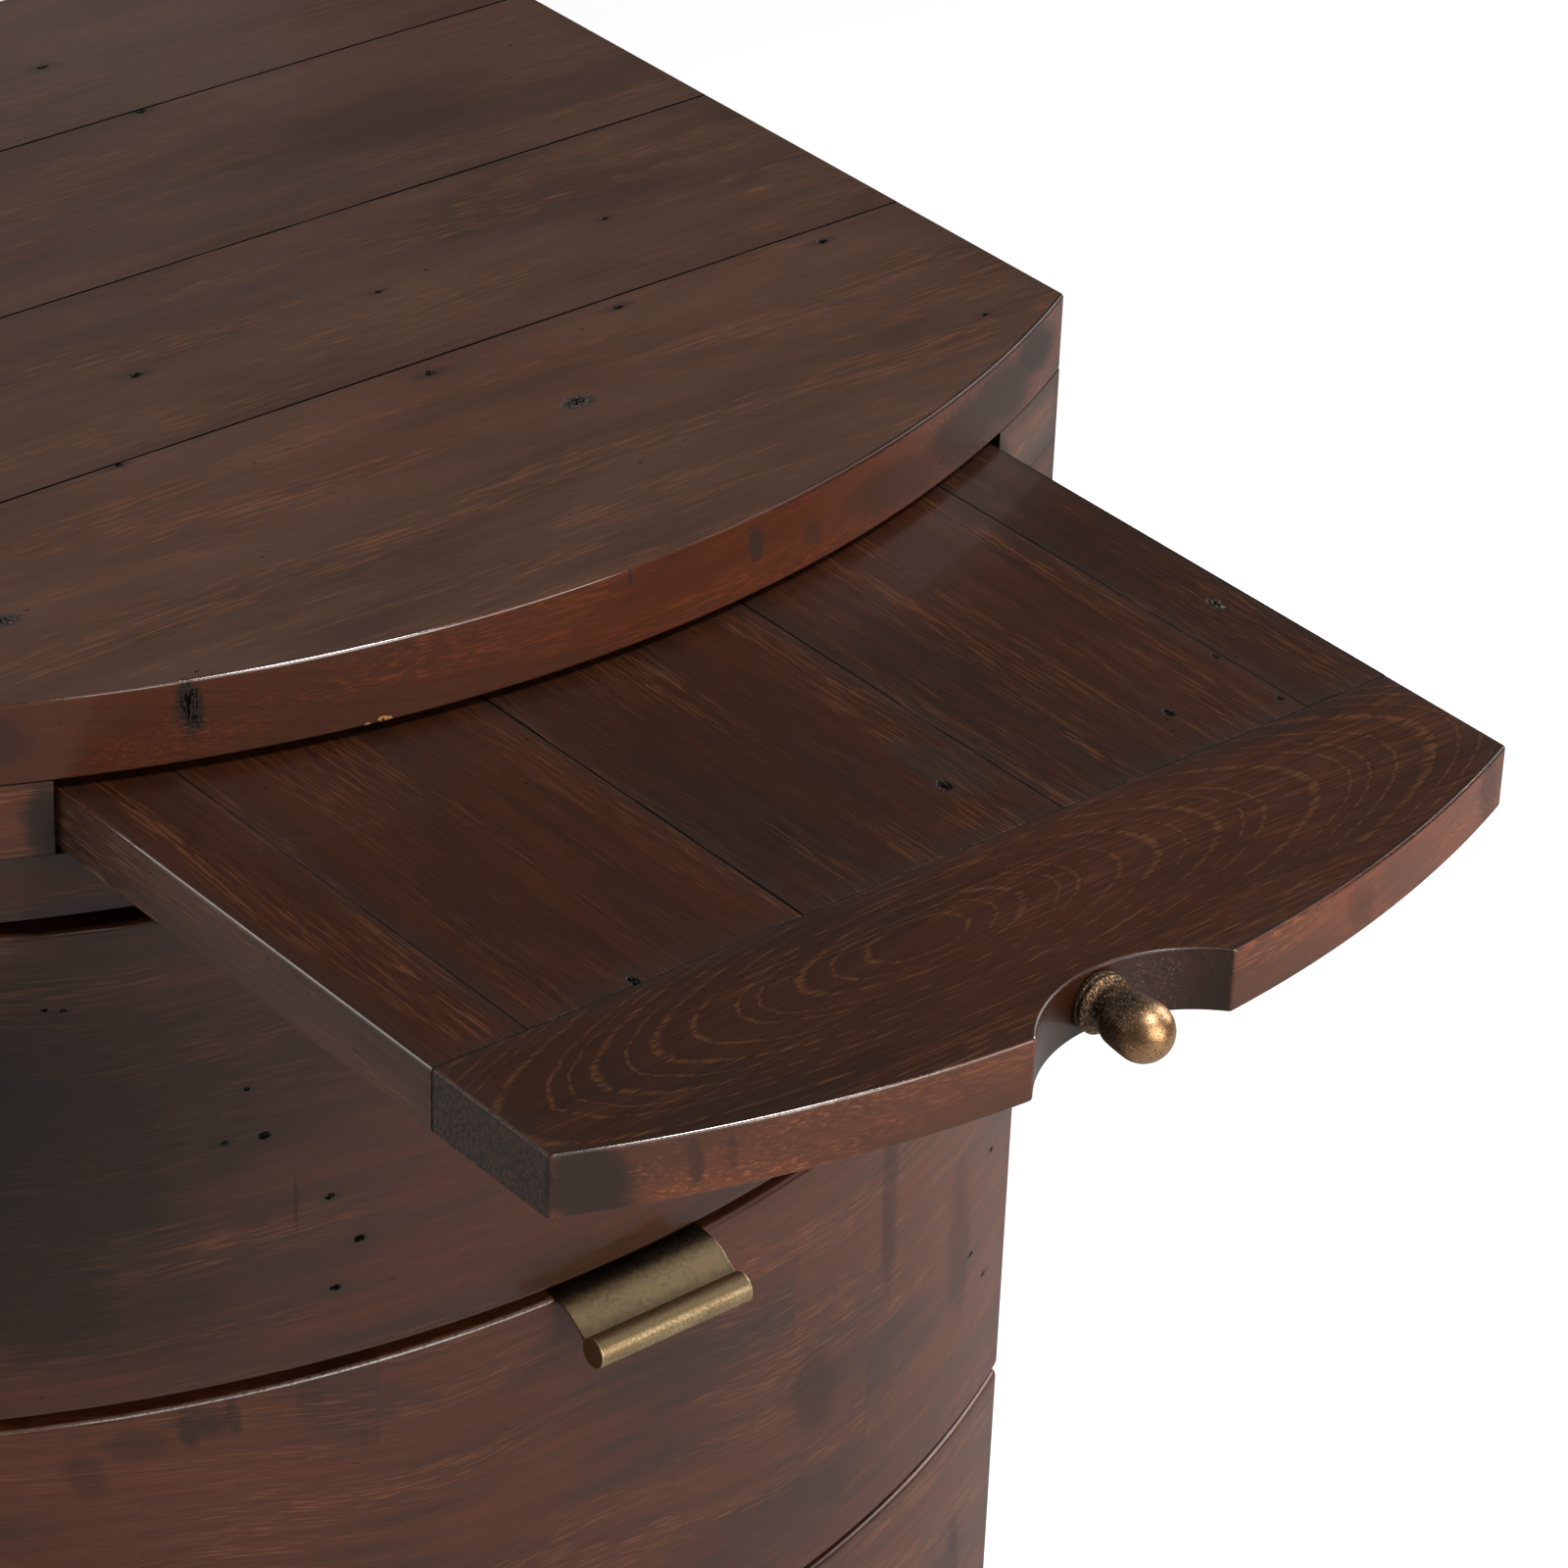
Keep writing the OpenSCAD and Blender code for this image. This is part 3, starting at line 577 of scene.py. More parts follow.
def nylon(name):
    material, tree, shader, x, y, z = new_material(name)
    grain = noise(x * 1600.0, y * 1600.0, z * 1600.0, 2.0)
    drive(tree, shader, "Base Color", colour_mix(grain, rgb(0.012, 0.012, 0.012), rgb(0.03, 0.03, 0.03)))
    drive(tree, shader, "Roughness", grain * 0.2 + 0.5)
    return material


# Modelling

def only(obj):
    bpy.ops.object.select_all(action="DESELECT")
    obj.select_set(True)
    bpy.context.view_layer.objects.active = obj


def named(name):
    obj = bpy.context.view_layer.objects.active
    only(obj)
    bpy.ops.object.transform_apply(location=True, rotation=True, scale=True)
    obj.name = name
    obj.data.name = name
    return obj


def block(name, low, high):
    bpy.ops.object.select_all(action="DESELECT")
    bpy.ops.mesh.primitive_cube_add(size=1, location=(low + high) / 2, scale=high - low)
    return named(name)


def drum(name, radius, centre, low_z, high_z, sides):
    bpy.ops.object.select_all(action="DESELECT")
    place = (centre[0], centre[1], (low_z + high_z) / 2)
    bpy.ops.mesh.primitive_cylinder_add(vertices=sides, radius=radius, depth=high_z - low_z, location=place)
    return named(name)


def trim(obj, point, outward):
    """Cuts away what lies beyond the plane through point, and closes the cut."""
    only(obj)
    bpy.ops.object.mode_set(mode="EDIT")
    bpy.ops.mesh.select_all(action="SELECT")
    bpy.ops.mesh.bisect(plane_co=point, plane_no=outward, use_fill=True, clear_outer=True)
    bpy.ops.object.mode_set(mode="OBJECT")


def bowed(name, low, high, centre_y=CENTRE_Y):
    """Board with the bow on its front edge, inside the box from low to high."""
    obj = drum(name, RADIUS, (0, centre_y), low.z, high.z, BOW_SIDES)
    trim(obj, (low.x, 0, 0), (-1, 0, 0))
    trim(obj, (high.x, 0, 0), (1, 0, 0))
    trim(obj, (0, high.y, 0), (0, 1, 0))
    return obj


def cut_away(obj, cutter):
    only(obj)
    change = obj.modifiers.new("cut", "BOOLEAN")
    change.operation = "DIFFERENCE"
    change.solver = "EXACT"
    change.object = cutter
    bpy.ops.object.modifier_apply(modifier=change.name)
    bpy.data.objects.remove(cutter, do_unlink=True)


def ease(obj, width, pick=None, segments=3, sharp=30.0):
    """Rounds the edges sharper than sharp degrees, or those of them whose middle passes pick."""
    only(obj)
    bpy.ops.object.mode_set(mode="EDIT")
    bpy.ops.mesh.select_mode(type="EDGE")
    bpy.ops.mesh.select_all(action="DESELECT")
    bpy.ops.mesh.edges_select_sharp(sharpness=math.radians(sharp))
    if pick is not None:
        mesh = bmesh.from_edit_mesh(obj.data)
        for edge in mesh.edges:
            if edge.select and not pick((edge.verts[0].co + edge.verts[1].co) / 2):
                edge.select_set(False)
        mesh.select_flush_mode()
        bmesh.update_edit_mesh(obj.data)
    bpy.ops.mesh.bevel(offset=width, offset_type="OFFSET", segments=segments, profile=0.5, affect="EDGES")
    bpy.ops.object.mode_set(mode="OBJECT")


def smooth(obj, angle=35.0):
    only(obj)
    bpy.ops.object.shade_smooth_by_angle(angle=math.radians(angle))
    change = obj.modifiers.new("even", "WEIGHTED_NORMAL")
    change.weight = 90
    change.keep_sharp = True
    bpy.ops.object.modifier_apply(modifier=change.name)


def finish_piece(obj, material, body, slot, *nodes):
    smooth(obj)
    obj.data.materials.clear()
    obj.data.materials.append(material)
    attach(obj, body)
    if nodes:
        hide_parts(*nodes)
    return obj


# Top: one bowed board and three straight ones, with a small V at each seam.

def top_pieces():
    # Places are in millimetres: from the middle along a board, and back from the front corners.
    knots = {1: [(64.5, 40.6, 5.2), (-206.5, 28.5, 5.0)]}
    nails = {
        1: [(32.7, 93.1, 1.9), (126.7, 94.8, 1.5), (230.5, 92.4, 1.5), (241.5, 4.5, 1.0), (-107.2, 101.4, 1.3)],
        2: [(171.2, 160.4, 1.1), (57.3, 160.9, 1.1), (-60.8, 158.1, 1.7)],
        3: [(75.3, 353.3, 1.7)],
        4: [(65.9, 413.3, 1.7), (-140.0, 430.0, 1.4)],
    }
    # On the bow a mark's second number is its height from the top. The marks at 150, 200, 232 and 262 darken
    # the bow's right end: partly dark glaze, partly painted shade against the right lamp's sheen.
    bow_marks = [(-180.0, -10.0, 6.0, 16.0, 0.92), (0.6, -4.0, 0.8, 4.2, 0.9), (64.0, -13.0, 4.0, 9.0, 0.75),
                 (-104.7, -32.4, 3.2, 1.3, 2.0), (-112.0, -33.0, 1.6, 0.9, 2.0), (96.0, -20.0, 6.0, 7.0, 0.4),
                 (-252.0, -14.0, 16.0, 12.0, 0.5), (200.0, -18.0, 36.0, 18.0, 0.72),
                 (262.0, -12.0, 24.0, 14.0, 0.85), (232.0, -16.0, 32.0, 18.0, 0.75),
                 (150.0, -20.0, 40.0, 14.0, 0.45)]
    grain = {
        1: dict(pith=(0.02, 0.62), tilt=0.05, pitch=5.2 * MM, red=0.42, streak=0.48),
        2: dict(pith=(0.16, 0.70), tilt=-0.06, pitch=4.4 * MM, red=0.52, streak=0.52),
        3: dict(pith=(0.24, 0.66), tilt=0.03, pitch=4.8 * MM, red=0.45, streak=0.34),
        4: dict(pith=(0.40, 0.70), tilt=0.04, pitch=4.0 * MM, red=0.50, streak=0.32),
    }

    def place(marks):
        return [(u * MM, v * MM + CORNER_Y, r * MM) for u, v, r in marks]

    for number in (1, 2, 3, 4):
        node = f"top_board_{number}"
        low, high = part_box(node)
        if number == 1:
            obj = bowed("top_1", low, high)
        else:
            obj = block(f"top_{number}", low, high)

        def at_seam(p, low=low, high=high, number=number):
            return p.y > high.y - MM and number < 4 or p.y < low.y + MM and number > 1

        ease(obj, TOP_ARRIS, lambda p: not at_seam(p))
        ease(obj, SEAM_ARRIS, lambda p: at_seam(p) and p.z > high.z - MM, 2)

        bow = {}
        if number == 1:
            bow = dict(bow_y=CENTRE_Y, face=(bow_depth(CENTRE_Y), ratio(BOW_TONE, TOP_TONE), high.z, 0.9, 0.0),
                       marks=[(u * MM, TOP_HIGH.z + v * MM, a * MM, b * MM, c) for u, v, a, b, c in bow_marks])
        # The front board's bow is left clear of the glaze that darkens the other edges.
        v_low = low.y - 60 * MM if number == 1 else low.y
        material = wood(node, "X", number * 1.7, (-HALF, HALF, v_low, high.y),
                        knots=place(knots.get(number, ())), nails=place(nails[number]), veil=0.30,
                        seams=(float(number > 1), float(number < 4)), seam_line=TOP_SEAM, end_grain=HALF,
                        glaze=0.25, blotch=0.10, late=0.22, tone=TOP_TONE, **bow, **grain[number])
        finish_piece(obj, material, "case", "top_wood", node)


def apron_pieces():
    """The rail under the tray's slot and the short stiles beside it, all bowed."""
    low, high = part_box("slot_rail")
    rail = bowed("apron_rail", low, high)
    ease(rail, APRON_ARRIS, segments=2)
    reach = RADIUS * math.asin(HALF / RADIUS)
    material = wood("slot_rail", "BOW", 9.3, (-reach, reach, low.z, high.z), pith=(0.70, 0.06), red=0.5,
                    streak=0.5, glaze=0.85, tone=BOW_TONE)
    finish_piece(rail, material, "case", "case_wood", "slot_rail")
    for side in ("left", "right"):
        low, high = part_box(f"apron_stile_{side}")
        stile = bowed(f"apron_{side}", low, high)
        ease(stile, APRON_ARRIS, segments=2)
        ends = sorted(RADIUS * math.asin(x / RADIUS) for x in (low.x, high.x))
        by_slot = max(ends) if side == "left" else min(ends)
        corner = (by_slot, (low.z + high.z) / 2 - 5 * MM, 13 * MM, 28 * MM, 0.88)
        if side == "left":
            look = dict(seed=4.1, red=0.72, streak=0.6, tone=LEFT_STILE_TONE)
        else:
            look = dict(seed=5.9, red=0.45, streak=0.3, tone=RIGHT_STILE_TONE_AND_SHEEN)
        material = wood(f"apron_stile_{side}", "BOW", span=(*ends, low.z, high.z), marks=[corner],
                        pith=(0.76, 0.05), glaze=0.65, **look)
        finish_piece(stile, material, "case", "case_wood", f"apron_stile_{side}")


def tray_pieces():
    """The front rail with its finger notch, and the boards behind it."""
    low, high = TRAY_LOW, TRAY_HIGH
    rail = bowed("tray_rail", low, high, TRAY_CENTRE_Y)
    notch = drum("notch_cutter", NOTCH_R, (0, NOTCH_Y - NOTCH_R), low.z - CUT_CLEAR, high.z + CUT_CLEAR,
                 NOTCH_SIDES)
    cut_away(rail, notch)
    ease(rail, TRAY_ARRIS, lambda p: p.y < high.y - MM)
    ease(rail, SEAM_ARRIS, lambda p: p.y > high.y - MM, 2)
    mid = (low.z + high.z) / 2
    marks = [(-214.0, 0.0, 17.0, 22.0, 0.85), (-176.0, 0.0, 3.2, 12.0, 0.55), (-163.0, 2.0, 2.4, 9.0, 0.4),
             (118.0, 0.0, 10.0, 12.0, 0.35), (214.0, 0.0, 9.0, 20.0, 0.5)]
    marks = [(u * MM, mid + v * MM, a * MM, b * MM, c) for u, v, a, b, c in marks]
    eye_y = CORNER_Y - TRAY_OUT - 6 * MM

    def notch_specks(x, y, z):
        away = y - (NOTCH_Y - NOTCH_R)
        wall = 1.0 - soft(abs(root(x * x + away * away) - NOTCH_R), 0.3 * MM, 0.8 * MM)
        right_of_knob = soft(x, 10 * MM, 16 * MM) * (1.0 - soft(x, 30 * MM, 36 * MM))
        below_arris = 1.0 - soft(z, high.z - 5 * MM, high.z - MM)
        pocks = soft(noise(x * 1900.0, y * 1900.0, z * 1100.0, 1.0), 0.61, 0.69)
        return wall * (right_of_knob * below_arris) * pocks * 0.5

    # The rail's front face is tinted lighter than its top: painted light.
    material = wood("tray_front_rail", "X", 2.45, (low.x, high.x, low.y, high.y),
                    pith=(eye_y, high.z - 20 * MM), wander=0.014, pitch=3.2 * MM, eye=(-34 * MM, 0.22),
                    red=0.42, streak=0.34, gold=0.46, late=0.30, glaze=0.35, blotch=0.18, seams=(0.0, 0.7),
                    seam_line=TRAY_SEAM, end_grain=high.x, marks=marks, bow_y=TRAY_CENTRE_Y, tone=TRAY_TONE,
                    face=(bow_depth(TRAY_CENTRE_Y), ratio(TRAY_FACE_LIT_TONE, TRAY_TONE), high.z, 0.45, 0.0),
                    specks=notch_specks)
    finish_piece(rail, material, "tray", "tray_wood", "tray_front_rail")

    def shut(across, back, radius):
        """A place in millimetres from the middle and from the shut tray's front corners."""
        return (back * MM + CORNER_Y - TRAY_OUT, across * MM, radius * MM)

    boards = {
        "tray_stile_left": dict(seed=1.2, pith=(-0.20, 0.80), red=0.38, streak=0.80, seams=(0.0, 0.5, 0.6)),
        "tray_board_1": dict(seed=3.4, pith=(-0.14, 0.90), red=0.48, streak=0.52, seams=(0.5, 0.9, 0.6),
                             nails=[shut(-134.0, 36.9, 1.8)]),
        "tray_board_2": dict(seed=5.1, pith=(0.01, 0.80), tilt=0.06, red=0.45, streak=0.62,
                             nails=[shut(36.2, 71.6, 2.2)], seams=(0.9, 0.75, 0.6),
                             marks=[(*shut(44.0, 84.0, 0.0)[:2], 26 * MM, 12 * MM, 0.45)]),
        "tray_board_3": dict(seed=7.7, pith=(0.13, 0.85), red=0.52, streak=0.68, seams=(0.75, 0.5, 0.6),
                             nails=[shut(178.8, 82.3, 1.2), shut(177.2, 45.3, 1.1), shut(136.6, 61.7, 1.7)]),
        "tray_stile_right": dict(seed=8.6, pith=(0.21, 0.90), red=0.45, streak=0.60, seams=(0.5, 0.0, 0.6),
                                 knots=[shut(206.0, 110.7, 3.4)]),
    }
    half = TRAY_HIGH.x

    def side_depth(x, y, z):
        return half - abs(x)

    for node, look in boards.items():
        low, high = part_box(node)
        obj = block(node.replace("tray_", "tray_plank_"), low, high)
        if "stile" in node:
            outer_x = low.x if "left" in node else high.x
            ease(obj, STILE_ARRIS, lambda p: abs(p.x - outer_x) < MM and low.y + MM < p.y)
        ease(obj, SEAM_ARRIS, lambda p: p.z > high.z - 0.2 * MM, 2)
        # The outer sides are tinted lighter and greyer than the tops: painted light and sheen.
        material = wood(node, "Y", span=(low.y, high.y, low.x, high.x), glaze=0.40, blotch=0.18, late=0.25,
                        tone=TRAY_TONE, face=(side_depth, ratio(TRAY_SIDE_LIT_TONE, TRAY_TONE), high.z, 0.8, 0.0),
                        seam_line=TRAY_SEAM, **look)
        finish_piece(obj, material, "tray", "tray_wood", node)


# Bowed drawer fronts, coved behind, with a recess for the pull's tongue.

def front_pieces():
    # Places are in millimetres: from the middle along the bow, and down from the top of the nightstand.
    reach = RADIUS * math.asin(HALF / RADIUS)
    looks = {
        1: dict(seed=2.2, pith=(0.60, 0.10), pitch=5.5 * MM, red=0.40, streak=0.34, slant=-0.06,
                nails=[(-154.0, -202.6, 1.5), (-169.5, -202.5, 1.1), (-127.7, -237.4, 1.3),
                       (-115.6, -260.5, 1.5), (-125.8, -280.5, 1.4), (-236.3, -131.1, 0.8),
                       (-229.5, -132.1, 0.8), (-160.8, -180.1, 0.8)],
                marks=[(-141.7, -236.0, 0.8, 17.0, 0.6), (-160.6, -163.0, 1.2, 18.0, 0.55),
                       # The next six marks darken drawer 1's upper left: partly dark glaze, partly painted
                       # shade from the tray above.
                       (-268.0, -170.0, 58.0, 84.0, 0.90), (-238.0, -178.0, 66.0, 78.0, 0.82),
                       (-214.0, -172.0, 74.0, 66.0, 0.62), (-190.0, -168.0, 84.0, 56.0, 0.42),
                       (-250.0, -255.0, 48.0, 44.0, 0.80), (-222.0, -262.0, 54.0, 44.0, 0.50),
                       (150.0, -270.0, 12.0, 34.0, 0.3), (262.0, -210.0, 16.0, 60.0, 0.3)]),
        2: dict(seed=6.4, pith=(0.33, 0.08), pitch=6.0 * MM, red=0.50, streak=0.44, tilt=0.03, slant=0.05,
                nails=[(266.1, -400.0, 1.3), (249.2, -444.3, 1.3), (265.4, -465.0, 1.3)],
                marks=[(170.0, -372.0, 7.0, 50.0, 0.45), (-114.0, -345.0, 2.0, 22.0, 0.3),
                       (-180.0, -330.0, 17.0, 10.0, 0.60), (-186.0, -331.0, 6.0, 12.0, 0.70),
                       (-168.0, -330.0, 4.5, 11.0, 0.64), (-206.0, -334.0, 16.0, 9.0, 0.38),
                       (-136.0, -330.0, 7.0, 12.0, 0.42), (-226.0, -346.0, 10.0, 14.0, 0.36),
                       (120.0, -440.0, 16.0, 26.0, 0.45),
                       (236.0, -430.0, 12.0, 50.0, 0.35), (-60.0, -455.0, 20.0, 9.0, 0.5)]),
        3: dict(seed=8.8, pith=(0.12, 0.10), pitch=5.6 * MM, red=0.48, streak=0.44, tilt=-0.02, slant=0.04,
                nails=[(-60.0, -610.0, 1.5), (120.0, -690.0, 1.5)],
                marks=[(-80.0, -600.0, 8.0, 40.0, 0.45), (110.0, -650.0, 9.0, 34.0, 0.45),
                       (250.0, -640.0, 10.0, 60.0, 0.5)],
                knots=[(60.0, -650.0, 7.0)]),
    }
    for i in DRAWERS:
        node = f"drawer_{i}_front"
        low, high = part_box(node)
        obj = bowed(f"drawer_face_{i}", low, high)
        ease(obj, FRONT_ARRIS, lambda p: p.y < high.y - MM)
        cove = drum("cove_cutter", RADIUS - FRONT_T, (0, CENTRE_Y), low.z - CUT_CLEAR, high.z + CUT_CLEAR,
                    BOW_SIDES)
        trim(cove, (-COVE_HALF, 0, 0), (-1, 0, 0))
        trim(cove, (COVE_HALF, 0, 0), (1, 0, 0))
        trim(cove, (0, high.y + 2 * CUT_CLEAR, 0), (0, 1, 0))
        cut_away(obj, cove)
        half = PULL_LEN / 2 + RECESS_GAP
        recess = block("recess_cutter", Vector((PULL_SHIFT - half, low.y - MM, high.z - PULL_T - 0.1 * MM)),
                       Vector((PULL_SHIFT + half, low.y + TONGUE_LEN + RECESS_GAP, high.z + MM)))
        cut_away(obj, recess)
        # Each row is a place, then one size or two, all in millimetres, then a mark's strength.
        look = looks[i]
        for key in ("nails", "knots", "marks"):
            look[key] = [(u * MM, TOP_HIGH.z + v * MM, *(size * MM for size in rest[:2]), *rest[2:])
                         for u, v, *rest in look.get(key, ())]
        if i == 2:
            # The last number paints drawer 2's upper arris pale: a painted highlight.
            look["face"] = (bow_depth(CENTRE_Y), (1.0, 1.0, 1.0), high.z, 0.18, 0.40)
        material = wood(node, "BOW", span=(-reach, reach, low.z, high.z), strips=COURSE_H, glaze=0.35,
                        blotch=0.46, late=0.25, wave=0.05, tone=FRONT_TONE, rough=0.34, shine=0.34, coat=0.18,
                        **look)
        finish_piece(obj, material, f"drawer_{i}", "front_wood", node)


# Hardware

def select_faces(obj, pick):
    only(obj)
    bpy.ops.object.mode_set(mode="EDIT")
    bpy.ops.mesh.select_mode(type="FACE")
    bpy.ops.mesh.select_all(action="DESELECT")
    mesh = bmesh.from_edit_mesh(obj.data)
    for face in mesh.faces:
        face.select_set(pick(face))
    bmesh.update_edit_mesh(obj.data)


def pull_pieces():
    """For each drawer a bent plate and the rod along its lower edge."""
    half = PULL_LEN / 2

    def plate_ends(x, y, z):
        return soft(abs(x - PULL_SHIFT), half - 0.55 * MM, half - 0.25 * MM)

    def rod_caps(x, y, z):
        return soft(abs(x - PULL_SHIFT), half - 0.25 * MM, half - 0.10 * MM)

    def rod_rims(x, y, z):
        along = abs(x - PULL_SHIFT)
        return soft(along, half - 1.2 * MM, half - 0.7 * MM) * (1.0 - rod_caps(x, y, z))

    tip_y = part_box("drawer_2_front")[0].y

    # Painted shade: the plate is darkened along its bend over the drawer's front edge and beside the rod, for
    # the shade and dark reflections there.
    def plate_crease_shade(x, y, z):
        out = tip_y - y + (noise(x * 160.0, y * 160.0, z * 160.0) - 0.5) * (4 * MM)
        return greater(1.0 - soft(out, 1.0 * MM, 6.0 * MM), soft(out, 13.0 * MM, 18.0 * MM) * 0.7)

    plate_finish = bronze("pull_plate_bronze", rgb(0.30, 0.215, 0.115), rgb(0.40, 0.295, 0.175), 500.0,
                          rough=0.34, rim=plate_ends, caps_and_shade=plate_crease_shade, shade_colour=rgb(0.060, 0.046, 0.034))
    rod_finish = bronze("pull_rod_bronze", rgb(0.27, 0.185, 0.095), rgb(0.58, 0.44, 0.25), 900.0, rough=0.30,
                        rim=rod_rims, caps_and_shade=rod_caps)
    for i in DRAWERS:
        low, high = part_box(f"drawer_{i}_front")
        tip, top = low.y, high.z
        left = PULL_SHIFT - half
        plate = block(f"pull_plate_{i}", Vector((left, tip, top - PULL_T)),
                      Vector((left + PULL_LEN, tip + TONGUE_LEN, top)))
        select_faces(plate, lambda face: face.normal.y < -0.9)
        bpy.ops.mesh.spin(steps=12, dupli=False, angle=-PULL_BEND_A, center=(0, tip, top - PULL_BEND_R),
                          axis=(1, 0, 0))
        along = Vector((0, -math.cos(PULL_BEND_A), -math.sin(PULL_BEND_A)))
        leg = PULL_LEG - ROD_R + 0.5 * MM
        bpy.ops.mesh.extrude_region_move(TRANSFORM_OT_translate={"value": along * leg})
        bpy.ops.object.mode_set(mode="OBJECT")
        ease(plate, PLATE_ARRIS, segments=2, sharp=50.0)
        finish_piece(plate, plate_finish, f"drawer_{i}", "pull_bronze", f"drawer_{i}_pull")

        bend = Vector((0, -math.sin(PULL_BEND_A), math.cos(PULL_BEND_A)))
        outer = Vector((0, tip, top - PULL_BEND_R)) + bend * PULL_BEND_R
        middle = outer + along * PULL_LEG - bend * (PULL_T / 2)
        bpy.ops.object.select_all(action="DESELECT")
        bpy.ops.mesh.primitive_cylinder_add(vertices=TURNED_SIDES, radius=ROD_R, depth=PULL_LEN,
                                            location=(PULL_SHIFT, middle.y, middle.z),
                                            rotation=(0, math.pi / 2, 0))
        rod = named(f"pull_rod_{i}")
        ease(rod, ROD_ARRIS, sharp=50.0)
        finish_piece(rod, rod_finish, f"drawer_{i}", "pull_bronze")


def turned(name, centre, profile):
    """Solid turned about a line along -Y from centre. profile holds (distance, radius) pairs."""
    bpy.ops.object.select_all(action="DESELECT")
    start, radius = profile[0]
    bpy.ops.mesh.primitive_circle_add(vertices=TURNED_SIDES, radius=radius, fill_type="NGON",
                                      location=centre + Vector((0, -start, 0)), rotation=(math.pi / 2, 0, 0))
    obj = named(name)
    bpy.ops.object.mode_set(mode="EDIT")
    bpy.ops.mesh.select_mode(type="FACE")
    bpy.ops.mesh.select_all(action="SELECT")
    for distance, wide in profile[1:]:
        bpy.ops.mesh.extrude_region_move(TRANSFORM_OT_translate={"value": (0, start - distance, 0)})
        growth = wide / radius
        bpy.ops.transform.resize(value=(growth, 1, growth), center_override=centre + Vector((0, -distance, 0)))
        start, radius = distance, wide
    bpy.ops.mesh.select_all(action="SELECT")
    bpy.ops.mesh.normals_make_consistent(inside=False)
    bpy.ops.object.mode_set(mode="OBJECT")
    return obj


def knob_piece():
    """A grooved collar, a neck, and a body with a round end, in millimetres from the notch's wall."""
    ball, ball_y, ball_steps = 11.4, 25.4, 15
    profile = [(0.7, 11.2), (1.2, 11.5), (2.6, 11.5), (3.0, 11.1), (3.3, 10.4), (3.7, 10.4), (4.0, 11.1),
               (4.4, 11.5), (5.2, 11.5), (5.6, 11.2), (7.0, 9.6), (7.3, 7.6), (7.6, 6.2), (12.4, 6.2),
               (12.6, 8.6), (13.0, 9.6), (13.7, 10.1), (15.0, 10.5), (17.5, 10.8), (19.5, 11.0), (22.0, 11.2)]
    for step in range(ball_steps + 1):
        angle = math.radians(step * 89.0 / ball_steps)
        profile.append((ball_y + ball * math.sin(angle), max(ball * math.cos(angle), 0.2)))
    centre = Vector((0, NOTCH_Y, (TRAY_LOW.z + TRAY_HIGH.z) / 2))
    knob = turned("knob", centre, [(d * MM, r * MM) for d, r in profile])

    def polish(x, y, z):
        out = NOTCH_Y - y + (noise(x * 300.0, y * 300.0, z * 300.0) - 0.5) * (12 * MM)
        return soft(out, 20 * MM, 36 * MM)

    def worn_lip(x, y, z):
        out = NOTCH_Y - y
        lip = soft(out, 3.9 * MM, 4.5 * MM) * (1.0 - soft(out, 6.8 * MM, 7.4 * MM))
        return lip * soft(noise(x * 1300.0, y * 1300.0, z * 1300.0, 1.0), 0.57, 0.63) * 0.60

    finish = bronze("knob_bronze_worn", rgb(0.058, 0.044, 0.036), rgb(0.74, 0.43, 0.21), 1500.0, polish,
                    rough=0.35, rim=worn_lip)
    finish_piece(knob, finish, "tray", "knob_bronze", "tray_knob")


# CAD nodes that show as they are, each with a finish of its own.

def repaint(node, material):
    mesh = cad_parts[node].data
    mesh.materials.clear()
    mesh.materials.append(material)


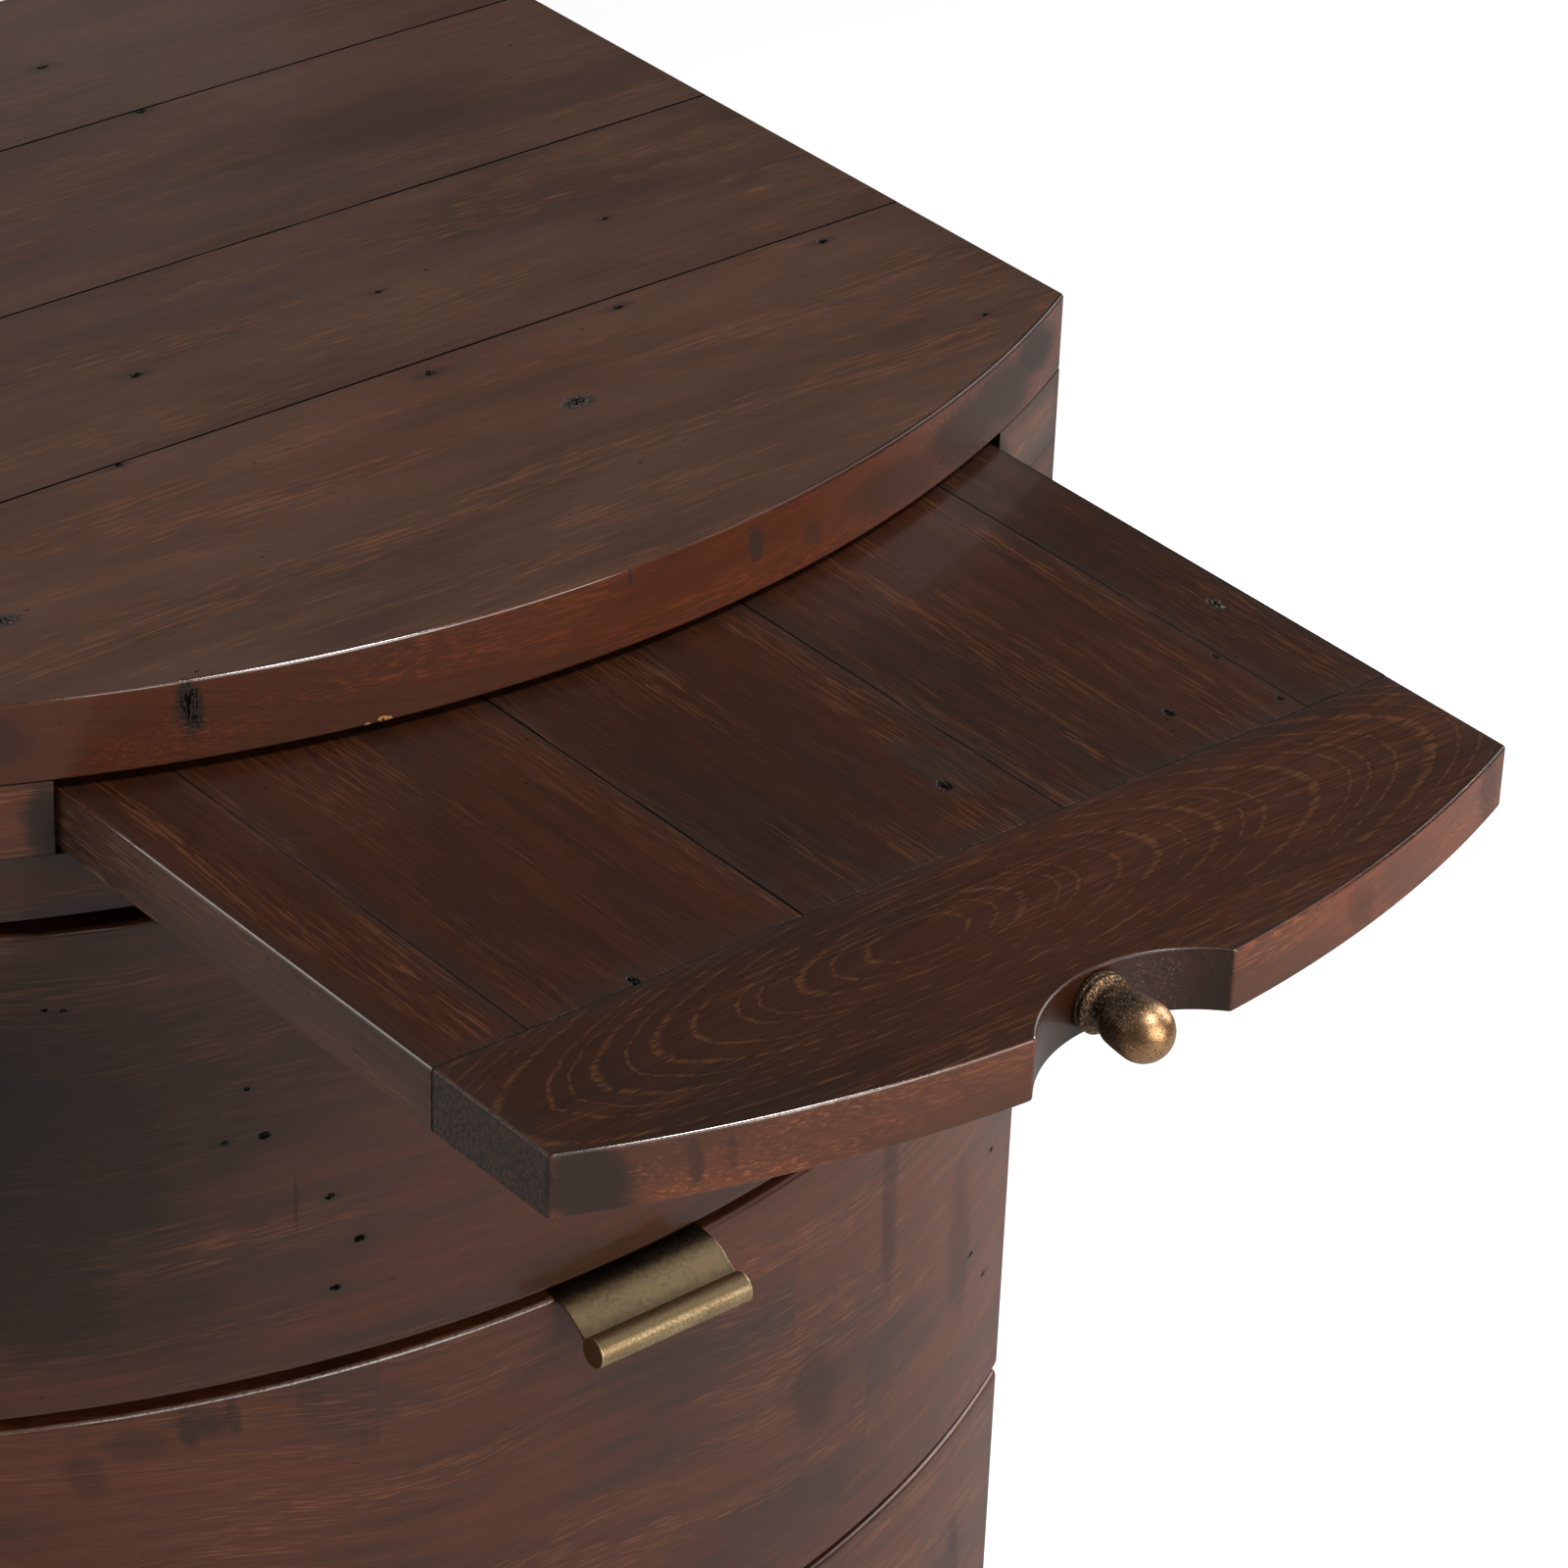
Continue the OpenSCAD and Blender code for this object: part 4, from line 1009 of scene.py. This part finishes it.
def inner_finishes():
    """The case, base, drawer boxes, slides and glides. Each board has a seed, so no two look alike."""
    for number, (node, axis, seam) in enumerate((
            ("side_panel_left", "ZY", 0.0), ("side_panel_right", "ZY", 0.0), ("back_panel", "Z", 1.0))):
        low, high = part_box(node)
        across = (low.x, high.x) if axis == "Z" else (low.y, high.y)
        repaint(node, wood(node + "_stained", axis, 11.3 + number * 2.9, (low.z, high.z, *across),
                           pith=(0.05, 0.35), pitch=6 * MM, streak=0.58, late=0.4, seams=(seam, seam),
                           blotch=0.35, wave=0.03, tone=CASE_TONE))
    for number, (node, axis) in enumerate((
            ("plinth_front", "X"), ("plinth_left", "Y"), ("plinth_right", "Y"), ("plinth_back", "X"))):
        repaint(node, wood(node + "_stained", axis, 13.3 + number, pith=(0.05, 0.9), blotch=0.5,
                           tone=CASE_TONE))
    for number, (node, axis) in enumerate((
            ("bottom_board", "X"), ("divider_rail_upper", "X"), ("divider_rail_lower", "X"),
            ("tray_runner_left", "Y"), ("tray_runner_right", "Y"), ("tray_kicker_left", "Y"),
            ("tray_kicker_right", "Y"), ("plinth_stretcher", "Y"), ("tray_stop", "X"))):
        repaint(node, wood(node + "_thin", axis, 21.1 + number, red=0.4, pith=(0.05, 0.9), blotch=0.5))
    repaint("tray_back_rail", wood("tray_back_rail", "X", 31.7, pith=(0.05, 0.9)))
    pine = dict(pale=True, late=0.75, rough=0.5)
    side = wood("box_side_pine", "Y", 41.2, pith=(0.1, 0.3), wave=0.03, **pine)
    back = wood("box_back_pine", "X", 42.6, pith=(0.5, 0.3), wave=0.03, **pine)
    base = wood("box_base_pine", "X", 43.9, pith=(0.1, 0.9), pitch=6 * MM, wave=0.05, **pine)
    zinc = plated_steel("zinc", rgb(0.60, 0.61, 0.62), 0.28)
    for i in DRAWERS:
        repaint(f"drawer_{i}_side_left", side)
        repaint(f"drawer_{i}_side_right", side)
        repaint(f"drawer_{i}_back", back)
        repaint(f"drawer_{i}_bottom", base)
        repaint(f"drawer_{i}_slides", zinc)
        repaint(f"drawer_{i}_links", zinc)
    repaint("case_slide_members", zinc)
    repaint("knob_stud", zinc)
    repaint("floor_glides", nylon("glide_nylon"))


# Stage: a plain pale floor, soft lights and the photo's viewpoint.

# Each light: name, direction from its target, distance, size, watts, warmth.
LIGHTS = (
    ("front", (0.0, -0.92, 0.38), 2.8, 1.6, 18.0, 1.0),
    ("low_front", (0.25, -0.95, 0.15), 2.8, 1.6, 23.0, 1.0),
    ("overhead_front", (0.16, -0.50, 0.85), 2.4, 0.5, 36.0, 0.0),
    ("right", (0.92, -0.10, 0.38), 2.8, 1.4, 44.0, 0.0),
    ("rear_left", (-0.50, 0.65, 0.53), 2.8, 1.0, 7.0, 0.0),
    ("rear_low", (-0.85, 0.50, 0.12), 2.8, 1.6, 11.0, 0.0),
    ("rear_card", (0.395, 0.886, 0.242), 1.3, 0.4, 0.15, 0.0),
)
SKY = 0.06
FLOOR_SIZE = 40
FLOOR_TONE = 0.50
# What the floor adds for the camera's own rays, so that it shows white without lighting the piece.
FLOOR_GLOW = 0.72
LIGHTS_AIM = Vector((0, 0, 0.7))

# The photo's camera: its lens, its place from the top's front corners, and its turn.
LENS = 145.248
CAMERA_PLACE = Vector((-1.27551, CORNER_Y - 1.65950, TOP_HIGH.z + 1.14484))
CAMERA_TURN = ((0.77277, 0.30759, -0.55518), (-0.63383, 0.41946, -0.64985), (0.03299, 0.85408, 0.51910))


def light(name, direction, distance, size, power, warmth):
    way = Vector(direction).normalized()
    data = bpy.data.lights.new(name, "AREA")
    data.shape = "SQUARE"
    data.size = size
    data.energy = power
    data.color = (1.0, 1.0 - 0.05 * warmth, 1.0 - 0.12 * warmth)
    obj = bpy.data.objects.new(name, data)
    obj.location = LIGHTS_AIM + way * distance
    obj.rotation_mode = "QUATERNION"
    obj.rotation_quaternion = way.to_track_quat("Z", "Y")
    bpy.context.scene.collection.objects.link(obj)


def stage():
    bpy.ops.object.select_all(action="DESELECT")
    bpy.ops.mesh.primitive_plane_add(size=FLOOR_SIZE, location=(0, 0, 0))
    floor = named("floor")
    material, tree, shader, x, _, _ = new_material("floor_white")
    shader.inputs["Base Color"].default_value = rgb(FLOOR_TONE, FLOOR_TONE, FLOOR_TONE)
    shader.inputs["Roughness"].default_value = 0.9
    shader.inputs["Specular IOR Level"].default_value = 0.1
    shader.inputs["Emission Strength"].default_value = 1.0
    seen = x.make("ShaderNodeLightPath", result="Is Camera Ray")
    drive(tree, shader, "Emission Color", seen * FLOOR_GLOW)
    floor.data.materials.append(material)

    for row in LIGHTS:
        light(*row)

    world = bpy.data.worlds.new("studio")
    bpy.context.scene.world = world
    world.use_nodes = True
    world.node_tree.nodes["Background"].inputs["Color"].default_value = rgb(1, 1, 1)
    world.node_tree.nodes["Background"].inputs["Strength"].default_value = SKY

    camera_data = bpy.data.cameras.new("photo_camera")
    camera_data.sensor_width = 36.0
    camera_data.lens = LENS
    camera = bpy.data.objects.new("photo_camera", camera_data)
    camera.matrix_world = Matrix.LocRotScale(CAMERA_PLACE, Matrix(CAMERA_TURN), None)
    bpy.context.scene.collection.objects.link(camera)
    bpy.context.scene.camera = camera
    bpy.context.scene.view_settings.view_transform = "Standard"


top_pieces()
apron_pieces()
tray_pieces()
front_pieces()
pull_pieces()
knob_piece()
inner_finishes()
stage()
